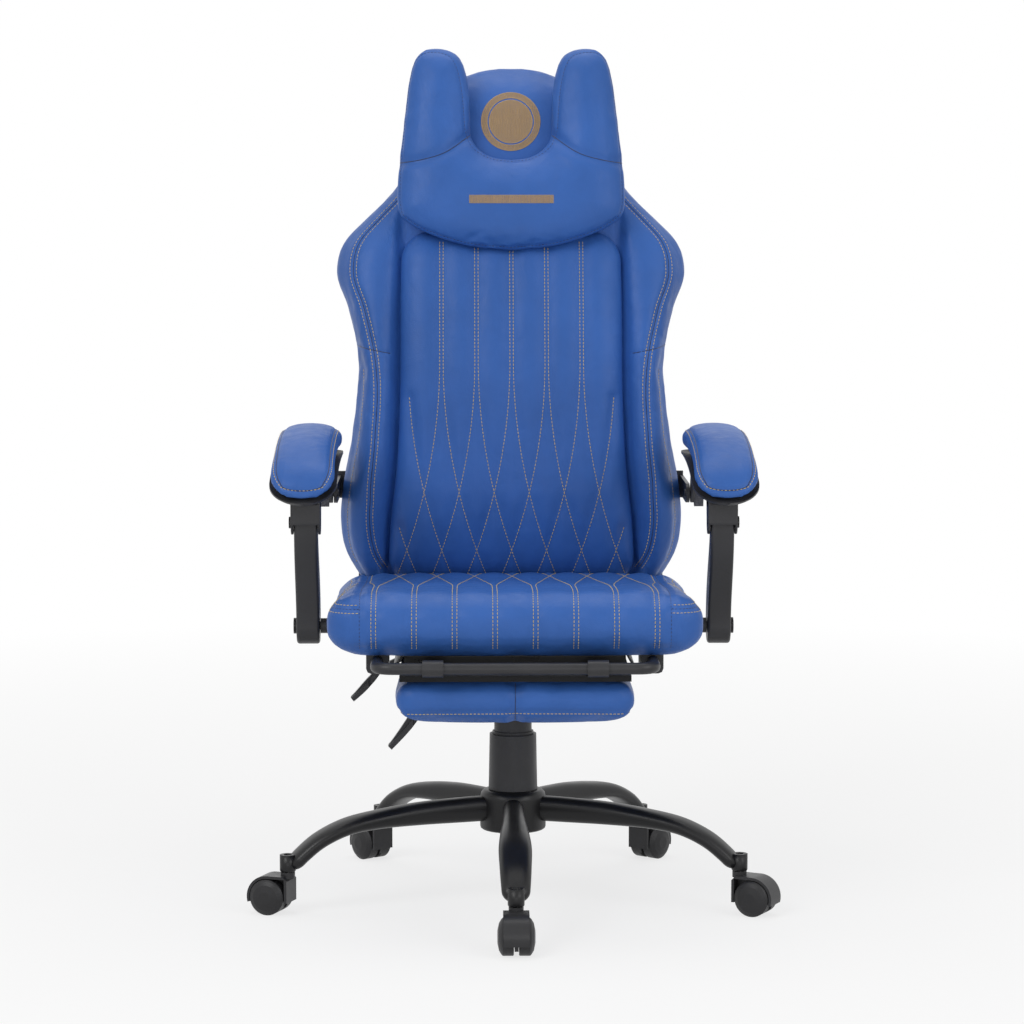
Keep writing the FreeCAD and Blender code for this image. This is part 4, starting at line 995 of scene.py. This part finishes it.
def build_pillow():
    f = finishes()
    outline = pillow_outline()
    inset = outline
    n = len(inset)
    half = 0.5 * PILLOW_THICK
    shape = bmesh.new()
    front = [shape.verts.new((x, -half, z)) for x, z in inset]
    rear = [shape.verts.new((x, half, z)) for x, z in inset]
    shape.faces.new(front)
    shape.faces.new(rear[::-1])
    for i in range(n):
        j = (i + 1) % n
        shape.faces.new((front[j], front[i], rear[i], rear[j]))
    mesh = bpy.data.meshes.new("head_pillow_cover")
    bmesh.ops.triangulate(shape, faces=shape.faces)
    shape.to_mesh(mesh)
    shape.free()
    pillow = outwards(placed("head_pillow_cover", mesh, f["leather"]))
    renetted(pillow, 0.005)
    # plump the plate: thick in the middle, closing at its edge
    tree = KDTree(n)
    for i, (x, z) in enumerate(outline):
        tree.insert((x, 0, z), i)
    tree.balance()
    p = points_of(pillow)
    edge = np.array([tree.find((x, 0, z))[2] for x, _, z in p])
    full = 1 - (1 - np.clip(edge / 0.050, 0, 1)) ** 2
    thick = 0.002 + 0.027 * np.sqrt(full)
    p[:, 1] *= thick / half
    set_points(pillow, p)
    inflated(pillow, 0.005, 4.0, 0.006, frames=16)
    p = points_of(pillow)
    p[:, 1] = p[:, 1] + pillow_back(p[:, 2]) - 0.029
    set_points(pillow, p)

    def on_front(skin, path, lift=0.0):
        path = np.array(path)
        return skin.lay(from_front(path[:, 0], path[:, 1]), (0, 1, 0), lift)

    joins = [
        spline_through([(side * 0.163, 1.040), (side * 0.13, 1.045), (side * 0.095, 1.056), (side * 0.060, 1.080)], 60)
        for side in (-1, 1)
    ]
    whole = pillow_outline(480)
    tangent = np.gradient(whole, axis=0)
    normal = np.column_stack([-tangent[:, 1], tangent[:, 0]])
    normal /= np.linalg.norm(normal, axis=1)[:, None]
    rim = whole + normal * 0.0065
    rim = np.vstack([rim, rim[:1]])
    skin = Surface(pillow)
    lines = [r for j in joins for r in on_front(skin, j)]
    around = on_front(skin, rim)
    carved(pillow, lines, 0.004, 0.008)
    carved(pillow, around, 0.0011, 0.003)
    skin = Surface(pillow)
    lines = [r for j in joins for r in on_front(skin, j, -0.0002)]
    around = on_front(skin, rim, -0.0002)
    piped("head_pillow_seams", lines, "back", f["seam"], 0.0007)
    stitched("head_pillow_edge_stitches", around + lines, "back", f["seam"], thickness=0.0012)
    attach(pillow, "back")
    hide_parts("head_pillow")
    # a plain embroidered bar at the middle of its front
    bar = []
    for z in np.arange(0.983, 0.994, 0.0012):
        bar += skin.lay(from_front(np.linspace(-0.060, 0.060, 50), z), (0, 1, 0), 0.0002)
    stitched("head_pillow_bar", bar, "back", f["embroidery"], pitch=0.0021, length=0.0026, thickness=0.0011)

    # elastic band that holds the pillow to the headrest
    loops = []
    for z in np.linspace(1.040, 1.068, 6):
        ring = back_ring(z)
        mid = ring.mean(0)
        out = ring[:, :2] - mid[:2]
        out /= np.linalg.norm(out, axis=1)[:, None]
        ring[:, :2] += out * 0.0042
        loops.append(ring)
    behind = loops[0][:, 1] > along(BACK_STATIONS, 1.040, 2) + 0.012
    loops = [loop[behind] for loop in loops]
    count = len(loops[0])
    verts = np.vstack(loops)
    faces = [
        (k * count + i, k * count + i + 1, (k + 1) * count + i + 1, (k + 1) * count + i)
        for k in range(len(loops) - 1)
        for i in range(count - 1)
    ]
    band = piece("pillow_band", verts, faces, f["elastic_black"])
    wall = band.modifiers.new("wall", "SOLIDIFY")
    wall.thickness = 0.0014
    wall.offset = 0
    finished(band)
    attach(band, "back")
    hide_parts("pillow_strap")


# ---------------------------------------------------------------- footrest


def build_footrest():
    f = finishes()
    low, high = (np.array(c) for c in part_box("footrest_pad"))
    half, mid = 0.5 * (high - low), 0.5 * (high + low)
    pad = rounded_block("footrest_cover", half - 0.001, (0.026, 0.022, 0.0235), (66, 40, 16), f["leather"])
    p = points_of(pad)
    x, y = p[:, 0] / half[0], p[:, 1] / half[1]
    lower = p[:, 2] < 0
    p[:, 2] -= np.where(lower, 0.004 * (1 - np.abs(x) ** 4) * (1 - np.abs(y) ** 4), 0)
    set_points(pad, p + mid)
    inflated(pad, 0.005, 3.5, 0.005, frames=16)
    # flat where it rests on its board
    p = points_of(pad)
    p[:, 2] = np.minimum(p[:, 2], high[2] - 0.0002)
    set_points(pad, p)

    def down_front(skin, x, lift=0.0):
        z = np.linspace(high[2] - 0.004, low[2] + 0.010, 24)
        a = np.linspace(0, math.pi / 2, 16)
        b = np.linspace(low[1] + 0.03, high[1] - 0.03, 40)
        starts = [(x, low[1] - 0.2, v) for v in z]
        ways = [(0, 1, 0)] * len(z)
        for v in a:
            starts.append((x, low[1] + 0.025 - 0.2 * math.cos(v), low[2] + 0.02 - 0.2 * math.sin(v)))
            ways.append((0, math.cos(v), math.sin(v)))
        starts += [(x, v, low[2] - 0.2) for v in b]
        ways += [(0, 0, 1)] * len(b)
        return skin.lay(np.array(starts), np.array(ways), lift)

    def around(skin, z, lift=0.0):
        starts, ways = [], []
        for x in np.linspace(-half[0] + 0.02, half[0] - 0.02, 120):
            starts.append((x, low[1] - 0.2, z))
            ways.append((0, 1, 0))
        path = skin.lay(np.array(starts), np.array(ways), lift)
        for side in (-1, 1):
            starts = [(side * (half[0] + 0.2), y, z) for y in np.linspace(low[1] + 0.02, high[1] - 0.02, 70)]
            path += skin.lay(np.array(starts), (-side, 0, 0), lift)
        return path

    skin = Surface(pad)
    carved(pad, down_front(skin, 0.0), 0.003, 0.007)
    carved(pad, around(skin, low[2] + 0.012), 0.0014, 0.004)
    skin = Surface(pad)
    piped("footrest_seam", down_front(skin, 0.0, -0.0002), "footrest", f["seam"], 0.0007)
    stitched("footrest_stitches", around(skin, low[2] + 0.009, 0.0001), "footrest", f["stitch"])
    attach(pad, "footrest")
    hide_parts("footrest_pad")


# ---------------------------------------------------------------- arm pads

PAD_TOP = ((-0.205, 0.594), (-0.195, 0.655), (-0.060, 0.680), (0.115, 0.668))
PAD_UNDER = ((-0.200, 0.581), (-0.180, 0.615), (-0.050, 0.632), (0.115, 0.628))


def arm_pad(side):
    """A crowned pad that bends down at its front end."""
    f = finishes()
    name = "left" if side < 0 else "right"
    low, high = (np.array(c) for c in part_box(f"arm_pad_{name}"))
    middle = 0.5 * (low[0] + high[0])
    wide = 0.5 * (high[0] - low[0]) + 0.0005
    t = np.linspace(0, 1, 90)
    top, under = bezier(PAD_TOP, t), bezier(PAD_UNDER, t)
    rings = []
    turn = np.linspace(0, 2 * np.pi, 96, endpoint=False)
    for k, (a, b) in enumerate(zip(top, under)):
        run = t[k]
        close = float(end_rounding(run))
        c, s = np.cos(turn), np.sin(turn)
        wx = np.sign(c) * np.abs(c) ** 0.86 * wide * close
        up = np.where(s > 0, np.abs(s) ** 0.98, -np.abs(s) ** 0.6)
        centre = 0.5 * (a + b)
        lift = 0.5 * (a - b) * (0.35 + 0.65 * close)
        crown = np.where(up > 0, 1.0, 0.96)
        ring = np.column_stack([middle + wx, centre[0] + lift[0] * up * crown, centre[1] + lift[1] * up * crown])
        rings.append(ring)
    pad = skinned(f"arm_pad_cover_{name}", rings, f["leather"])
    inflated(pad, 0.0045, 3.0, 0.0035, frames=14)
    skin = Surface(pad)

    def around(share, lift=0.0):
        """Round the pad's top face, a share of the way from its middle to its sides."""
        half_turn = np.linspace(-math.pi / 2, math.pi / 2, 50)
        run = np.concatenate([np.linspace(0.95, 0.09, 80), 0.09 - 0.055 * np.cos(half_turn), np.linspace(0.09, 0.95, 80)])
        off = np.concatenate([np.full(80, -1.0), np.sin(half_turn), np.full(80, 1.0)]) * share * wide * end_rounding(np.maximum(run, 0.09))
        spot, ahead = bezier(PAD_TOP, run), bezier(PAD_TOP, run + 0.002)
        way = ahead - spot
        way /= np.linalg.norm(way, axis=1)[:, None]
        starts = np.column_stack([middle + off, spot[:, 0] - way[:, 1] * 0.08, spot[:, 1] + way[:, 0] * 0.08])
        return skin.lay(starts, np.column_stack([np.zeros(len(run)), way[:, 1], -way[:, 0]]), lift)

    carved(pad, around(0.80), 0.0014, 0.003)
    skin = Surface(pad)
    piped(f"arm_pad_seam_{name}", around(0.80, -0.0002), f"arm_{name}", f["seam"], 0.0008)
    stitched(f"arm_pad_stitches_{name}", around(0.88, 0.0001), f"arm_{name}", f["stitch"])
    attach(pad, f"arm_{name}")
    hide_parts(f"arm_pad_{name}")


def plate(name, outline, start, thick):
    """A flat plate with its outline in the side view."""
    n = len(outline)
    verts = [(x, y, z) for x in (start, start + thick) for y, z in outline]
    faces = [tuple(range(n)), tuple(range(2 * n - 1, n - 1, -1))]
    faces += [(i, n + i, n + (i + 1) % n, (i + 1) % n) for i in range(n)]
    obj = outwards(piece(name, verts, faces))
    edge = obj.modifiers.new("edge", "BEVEL")
    edge.width, edge.segments = 0.0008, 2
    finished(obj)
    obj.data.polygons.foreach_set("use_smooth", [False] * len(obj.data.polygons))
    return obj


def disc_outline(y, z, radius, start=0.0, end=2 * math.pi, count=28):
    return [(y + radius * math.cos(a), z + radius * math.sin(a)) for a in np.linspace(start, end, count)]


POST_HEAD = (-0.130, 0.550)  # y and height of the post's upper pivot
REAR_PIVOT = (0.140, 0.565)  # y and height of the armrest's rear pivot


def arm_frame(side):
    """Dished tray under the pad, saddle over the post and plate back to the rear pivot."""
    f = finishes()
    name = "left" if side < 0 else "right"
    low, high = (np.array(c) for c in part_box(f"arm_pad_{name}"))
    middle, wide = 0.5 * (low[0] + high[0]), 0.5 * (high[0] - low[0]) + 0.0012
    run = np.linspace(0, 1, 80)
    under = bezier(PAD_UNDER, run)
    way = np.gradient(under, axis=0)
    way /= np.linalg.norm(way, axis=1)[:, None]
    down = np.column_stack([way[:, 1], -way[:, 0]])
    across = np.concatenate([np.linspace(-1, 1, 25), np.linspace(1, -1, 25)])
    deep = np.concatenate([np.full(25, 0.0012), np.full(25, 0.0046)]) - 0.0042 * np.abs(across) ** 7
    rings = []
    for k, t in enumerate(run):
        close = float(end_rounding(t))
        rings.append(
            np.column_stack([middle + across * wide * close, under[k, 0] + deep * down[k, 0], under[k, 1] + deep * down[k, 1]])
        )
    parts = [skinned("tray", rings)]
    (post_y, post_z), (rear_y, rear_z) = POST_HEAD, REAR_PIVOT
    post_low, post_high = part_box(f"arm_post_{name}")
    for start in (post_low[0] - 0.0042, post_high[0] + 0.0010):
        cheek = disc_outline(post_y, post_z, 0.0165, -math.pi, 0)
        cheek += [(post_y + 0.030, post_z + 0.066), (post_y - 0.024, post_z + 0.056)]
        parts.append(plate("cheek", cheek, start, 0.0032))
    saddle = rounded_block("saddle", (0.5 * (post_high[0] - post_low[0]) + 0.0042, 0.0205, 0.0190), (0.004, 0.005, 0.004), (12, 12, 12))
    p = points_of(saddle)
    set_points(saddle, p + np.array((0.5 * (post_low[0] + post_high[0]), post_y, post_z + 0.0345)))
    parts.append(saddle)
    collar = rounded_block("collar", (0.5 * (post_high[0] - post_low[0]) + 0.0042, 0.0016, 0.0150), (0.003, 0.0012, 0.003), (12, 4, 12))
    set_points(collar, points_of(collar) + np.array((0.5 * (post_low[0] + post_high[0]), post_y - 0.0195, post_z + 0.0130)))
    parts.append(collar)
    start = side * 0.2635 if side < 0 else 0.2585
    link = [(rear_y - 0.085, rear_z + 0.058), (rear_y - 0.027, rear_z + 0.060), (rear_y + 0.010, rear_z + 0.010)]
    link = disc_outline(rear_y, rear_z, 0.014, -0.75 * math.pi, 0.25 * math.pi) + link[1::-1]
    parts.append(plate("link", link, start, 0.005))
    shell = joined(f"arm_frame_{name}", parts, f["cover_black"])
    shade_flat_sides(shell)
    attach(shell, f"arm_{name}")
    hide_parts(f"arm_bracket_{name}")


def shade_flat_sides(obj):
    """Smooth round faces with crisp edges between them."""
    obj.data.polygons.foreach_set("use_smooth", [True] * len(obj.data.polygons))
    obj.data.set_sharp_from_angle(angle=math.radians(35))


# ---------------------------------------------------------------- star base

# one leg, from the hub outwards: reach, middle height, half width, half thickness
LEG_STATIONS = (
    (0.028, 0.1320, 0.0150, 0.0180),
    (0.080, 0.1315, 0.0152, 0.0176),
    (0.140, 0.1300, 0.0172, 0.0160),
    (0.200, 0.1255, 0.0208, 0.0130),
    (0.245, 0.1180, 0.0226, 0.0112),
    (0.282, 0.1025, 0.0216, 0.0106),
    (0.308, 0.0835, 0.0200, 0.0104),
    (0.326, 0.0655, 0.0180, 0.0100),
)
LEG_ANGLES = tuple(math.radians(-90 + 72 * k) for k in range(5))


def joined(name, parts, material):
    shape = bmesh.new()
    for part in parts:
        shape.from_mesh(part.data)
        bpy.data.objects.remove(part)
    mesh = bpy.data.meshes.new(name)
    shape.to_mesh(mesh)
    shape.free()
    return placed(name, mesh, material)


def turned(name, profile, centre=(0, 0), count=72):
    """A closed outline of radius and height, turned round an upright axis."""
    verts, faces = [], []
    n = len(profile)
    for k in range(count):
        a = 2 * math.pi * k / count
        verts += [(centre[0] + r * math.cos(a), centre[1] + r * math.sin(a), z) for r, z in profile]
        for i in range(n):
            j, m = (i + 1) % n, (k + 1) % count
            faces.append((k * n + i, k * n + j, m * n + j, m * n + i))
    return outwards(piece(name, verts, faces))


def build_star_base():
    f = finishes()
    parts = []
    line = spline_through(LEG_STATIONS, 70)
    turn = np.linspace(0, 2 * np.pi, 40, endpoint=False)
    across = np.sign(np.cos(turn)) * np.abs(np.cos(turn)) ** 0.80
    up = np.sign(np.sin(turn)) * np.abs(np.sin(turn)) ** 0.86
    slope = np.gradient(line[:, :2], axis=0)
    slope /= np.linalg.norm(slope, axis=1)[:, None]
    for n, angle in enumerate(LEG_ANGLES):
        out = np.array((math.cos(angle), math.sin(angle)))
        side = np.array((-out[1], out[0]))
        rings = []
        for k, (reach, height, wide, thick) in enumerate(line):
            close = math.sqrt(max(0.02, 1 - max(0.0, (k - 63) / 6.5) ** 2))
            normal = np.array((-slope[k, 1], slope[k, 0]))
            r = reach + normal[0] * thick * close * up
            z = height + normal[1] * thick * close * up
            flat = np.outer(r, out) + np.outer(across * wide * close, side)
            rings.append(np.column_stack([flat, z]))
        parts.append(skinned(f"leg_{n}", rings))
        end = 0.330 * out
        parts.append(turned(f"socket_{n}", [(0.0056, 0.0605), (0.0102, 0.0605), (0.0112, 0.0620), (0.0112, 0.084), (0.0056, 0.084)], end, 32))
    low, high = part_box("star_base")
    top = high[2]
    parts.append(
        turned(
            "hub",
            [(0.0262, 0.101), (0.0435, 0.101), (0.0458, 0.1026), (0.0465, 0.105), (0.0465, top - 0.012), (0.0452, top - 0.0055),
             (0.0415, top - 0.0015), (0.0385, top - 0.0004), (0.0262, top - 0.0004)],
        )
    )
    base = joined("star_base_painted", parts, f["base_black"])
    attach(base, "base")
    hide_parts("star_base")


# ---------------------------------------------------------------- carried-over parts


def paint_frame_parts():
    """Every part of the frame that still shows takes its finish from its slot."""
    f = finishes()
    for name, obj in frame["nodes"].items():
        if obj.hide_render:
            continue
        for slot in obj.material_slots:
            key = slot.material.name.split(".")[0] if slot.material else ""
            if name in ("footrest_board", "back_board"):
                slot.material = f["backing"]
            elif name.startswith(("post_bolts", "arm_pin")):
                slot.material = f["tube_black"]
            elif key in f:
                slot.material = f[key]
            elif key == "leather_blue":
                slot.material = f["leather"]
            else:
                raise RuntimeError(f"{name} has no finish for its slot {key!r}")


# ---------------------------------------------------------------- studio


def area_light(name, place, aim, size, power):
    data = bpy.data.lights.new(name, "AREA")
    data.shape = "RECTANGLE"
    data.size, data.size_y = size
    data.energy = power
    light = bpy.data.objects.new(name, data)
    bpy.context.scene.collection.objects.link(light)
    light.location = place
    light.rotation_euler = (Vector(aim) - Vector(place)).to_track_quat("-Z", "Y").to_euler()


def seen_directly(nodes, links):
    """1 for rays that show the background itself: straight, mirrored or passed through."""
    path = nodes.new("ShaderNodeLightPath")
    first = nodes.new("ShaderNodeMath")
    first.operation = "MAXIMUM"
    both = nodes.new("ShaderNodeMath")
    both.operation = "MAXIMUM"
    links.new(path.outputs["Is Camera Ray"], first.inputs[0])
    links.new(path.outputs["Is Glossy Ray"], first.inputs[1])
    links.new(first.outputs[0], both.inputs[0])
    links.new(path.outputs["Is Transmission Ray"], both.inputs[1])
    return both.outputs[0]


def build_stage():
    scene = bpy.context.scene
    studio = scene.chair_studio
    floor = piece("studio_floor", [(-30, -30, 0), (30, -30, 0), (30, 30, 0), (-30, 30, 0)], [(0, 1, 2, 3)])
    material, nodes, links, shader = nodes_for("studio_floor_pale", 0.9, specular=0.1)
    shader.inputs["Base Color"].default_value = (*studio.floor_colour, 1)
    glow = nodes.new("ShaderNodeEmission")
    mix = nodes.new("ShaderNodeMixShader")
    part = nodes.new("ShaderNodeMath")
    part.operation = "MULTIPLY"
    place = nodes.new("ShaderNodeTexCoord")
    away = nodes.new("ShaderNodeVectorMath")
    away.operation = "LENGTH"
    links.new(place.outputs["Object"], away.inputs[0])
    links.new(spread(nodes, links, away.outputs["Value"], 0.74, 1.0, 0.6, 3.0), part.inputs[1])
    links.new(seen_directly(nodes, links), part.inputs[0])
    links.new(part.outputs[0], mix.inputs[0])
    links.new(shader.outputs[0], mix.inputs[1])
    links.new(glow.outputs[0], mix.inputs[2])
    links.new(mix.outputs[0], nodes["Material Output"].inputs["Surface"])
    floor.data.materials.append(material)

    world = bpy.data.worlds.new("studio_world")
    scene.world = world
    world.use_nodes = True
    nodes, links = world.node_tree.nodes, world.node_tree.links
    lamp, sky = nodes["Background"], nodes.new("ShaderNodeBackground")
    lamp.inputs["Color"].default_value = (1, 1, 1, 1)
    lamp.inputs["Strength"].default_value = studio.ambient
    sky.inputs["Color"].default_value = (1, 1, 1, 1)
    sky.inputs["Strength"].default_value = 1.0
    mix = nodes.new("ShaderNodeMixShader")
    links.new(seen_directly(nodes, links), mix.inputs[0])
    links.new(lamp.outputs[0], mix.inputs[1])
    links.new(sky.outputs[0], mix.inputs[2])
    links.new(mix.outputs[0], nodes["World Output"].inputs["Surface"])

    area_light("key_softbox", (-2.2, -2.6, 3.0), (0, 0, 0.75), (2.0, 2.0), studio.key_power)
    area_light("fill_softbox", (2.6, -2.4, 2.2), (0, 0, 0.6), (2.2, 2.2), studio.key_power * 0.62)
    area_light("top_softbox", (0, 0.6, 3.6), (0, 0, 0.6), (2.6, 2.0), studio.key_power * 0.55)
    area_light("low_front_softbox", (0, -4.2, 0.7), (0, 0, 0.35), (2.6, 0.8), studio.key_power * 0.22)

    data = bpy.data.cameras.new("camera")
    data.sensor_width = 36
    data.lens = studio.lens
    data.clip_end = 200
    camera = bpy.data.objects.new("camera", data)
    scene.collection.objects.link(camera)
    camera.location = (studio.camera_side, -studio.camera_distance, studio.camera_height)
    camera.rotation_euler = (math.pi / 2 - studio.camera_tilt, 0, -studio.camera_turn)
    scene.camera = camera
    scene.view_settings.view_transform = "Standard"


# ---------------------------------------------------------------- add-on


def colour(name, words, value):
    return FloatVectorProperty(name=name, description=words, subtype="COLOR", size=3, min=0, max=1, default=value)


def metres(name, words, value, low=0.0, high=10.0):
    return FloatProperty(name=name, description=words, default=value, min=low, max=high, unit="LENGTH", precision=4)


class ChairColours(bpy.types.PropertyGroup):
    leather: colour("Leather", "Blue of the cover", (0.034, 0.114, 0.385))
    seam: colour("Seams", "Thread sunk in the seams", (0.010, 0.022, 0.085))
    stitch: colour("Top stitching", "Decorative thread", (0.62, 0.46, 0.18))
    embroidery: colour("Embroidery", "Satin thread of the disc and the bar", (0.62, 0.40, 0.15))
    frame: colour("Frame paint", "Black baked paint", (0.029, 0.029, 0.032))
    cover: colour("Covers", "Black moulded plastic", (0.034, 0.034, 0.037))
    # painted light: the arm trays' grey is black plastic coloured as if lit from the side
    tray: colour("Arm trays", "Grey moulded plastic", (0.085, 0.085, 0.095))


class ChairSizes(bpy.types.PropertyGroup):
    stitch_pitch: metres("Stitch pitch", "From one stitch to the next", 0.0052, 0.002, 0.02)
    stitch_length: metres("Stitch length", "Length of thread that shows", 0.0041, 0.001, 0.02)
    thread_thickness: metres("Thread thickness", "Thickness of the top stitching", 0.0012, 0.0004, 0.003)
    back_channel_pitch: metres("Back channel pitch", "Between the pairs of rows on the backrest", 0.0507, 0.03, 0.08)
    seat_channel_pitch: metres("Seat channel pitch", "Between the pairs of rows on the seat", 0.0541, 0.03, 0.07)


class ChairStudio(bpy.types.PropertyGroup):
    camera_distance: metres("Camera distance", "In front of the chair's axis", 4.667, 1, 10)
    camera_height: metres("Camera height", "Above the floor", 1.013, 0, 5)
    camera_side: metres("Camera side", "Right of the chair's axis", -0.060, -5, 5)
    camera_turn: FloatProperty(name="Camera turn", description="Turn to the right", subtype="ANGLE", default=math.radians(0.72))
    camera_tilt: FloatProperty(name="Camera tilt", description="Downward tilt", subtype="ANGLE", default=math.radians(5.65))
    lens: FloatProperty(name="Lens", description="Focal length", unit="CAMERA", default=117.3, min=20, max=300)
    key_power: FloatProperty(name="Key light", description="Power of the main softbox", unit="POWER", default=62.0, min=0)
    ambient: FloatProperty(name="Ambient", description="Strength of the light from all round", default=0.32, min=0, max=2)
    floor_colour: colour("Floor", "Pale studio floor", (0.86, 0.86, 0.86))


class CHAIR_OT_stage(bpy.types.Operator):
    """Put up the floor, the lights and the camera"""

    bl_idname = "chair.stage"
    bl_label = "Studio"

    def execute(self, context):
        build_stage()
        return {"FINISHED"}


class CHAIR_OT_backrest(bpy.types.Operator):
    """Build the backrest cover, its quilted centre, seams and stitching"""

    bl_idname = "chair.backrest"
    bl_label = "Backrest"

    def execute(self, context):
        build_backrest()
        return {"FINISHED"}


class CHAIR_OT_emblem(bpy.types.Operator):
    """Embroider the plain ring on the headrest"""

    bl_idname = "chair.emblem"
    bl_label = "Headrest ring"

    def execute(self, context):
        build_emblem()
        return {"FINISHED"}


class CHAIR_OT_pillow(bpy.types.Operator):
    """Build the head pillow and its elastic band"""

    bl_idname = "chair.pillow"
    bl_label = "Head pillow"

    def execute(self, context):
        build_pillow()
        return {"FINISHED"}


class CHAIR_OT_seat(bpy.types.Operator):
    """Build the seat cover, its channels and side seams"""

    bl_idname = "chair.seat"
    bl_label = "Seat"

    def execute(self, context):
        build_seat()
        build_tray_lip()
        return {"FINISHED"}


class CHAIR_OT_footrest(bpy.types.Operator):
    """Build the footrest cover"""

    bl_idname = "chair.footrest"
    bl_label = "Footrest"

    def execute(self, context):
        build_footrest()
        return {"FINISHED"}


class CHAIR_OT_arm_pads(bpy.types.Operator):
    """Build both arm pads"""

    bl_idname = "chair.arm_pads"
    bl_label = "Arm pads"

    def execute(self, context):
        for side in (-1, 1):
            arm_pad(side)
            arm_frame(side)
        return {"FINISHED"}


class CHAIR_OT_star_base(bpy.types.Operator):
    """Build the five-legged base with its hub and sockets"""

    bl_idname = "chair.star_base"
    bl_label = "Star base"

    def execute(self, context):
        build_star_base()
        return {"FINISHED"}


class CHAIR_OT_paint(bpy.types.Operator):
    """Give each frame part that shows its paint, plastic, steel or wood"""

    bl_idname = "chair.paint"
    bl_label = "Frame finishes"

    def execute(self, context):
        paint_frame_parts()
        return {"FINISHED"}


OPERATORS = (
    CHAIR_OT_stage,
    CHAIR_OT_backrest,
    CHAIR_OT_emblem,
    CHAIR_OT_pillow,
    CHAIR_OT_seat,
    CHAIR_OT_footrest,
    CHAIR_OT_arm_pads,
    CHAIR_OT_star_base,
    CHAIR_OT_paint,
)


class CHAIR_PT_looks(bpy.types.Panel):
    """Sizes, colours and steps of the chair's looks"""

    bl_idname = "CHAIR_PT_looks"
    bl_label = "Chair looks"
    bl_space_type = "VIEW_3D"
    bl_region_type = "UI"
    bl_category = "Chair"

    def draw(self, context):
        scene = context.scene
        for group in (scene.chair_colours, scene.chair_sizes, scene.chair_studio):
            box = self.layout.box()
            for key in group.__annotations__:
                box.prop(group, key)
        for step in OPERATORS:
            self.layout.operator(step.bl_idname)


GROUPS = {"chair_colours": ChairColours, "chair_sizes": ChairSizes, "chair_studio": ChairStudio}


def register():
    for group in (*GROUPS.values(), *OPERATORS, CHAIR_PT_looks):
        bpy.utils.register_class(group)
    for name, group in GROUPS.items():
        setattr(bpy.types.Scene, name, PointerProperty(type=group))


def unregister():
    for name in GROUPS:
        delattr(bpy.types.Scene, name)
    for group in reversed((*GROUPS.values(), *OPERATORS, CHAIR_PT_looks)):
        bpy.utils.unregister_class(group)


def main():
    register()
    for step in OPERATORS:
        family, name = step.bl_idname.split(".")
        getattr(getattr(bpy.ops, family), name)()


if __name__ == "__main__":
    main()
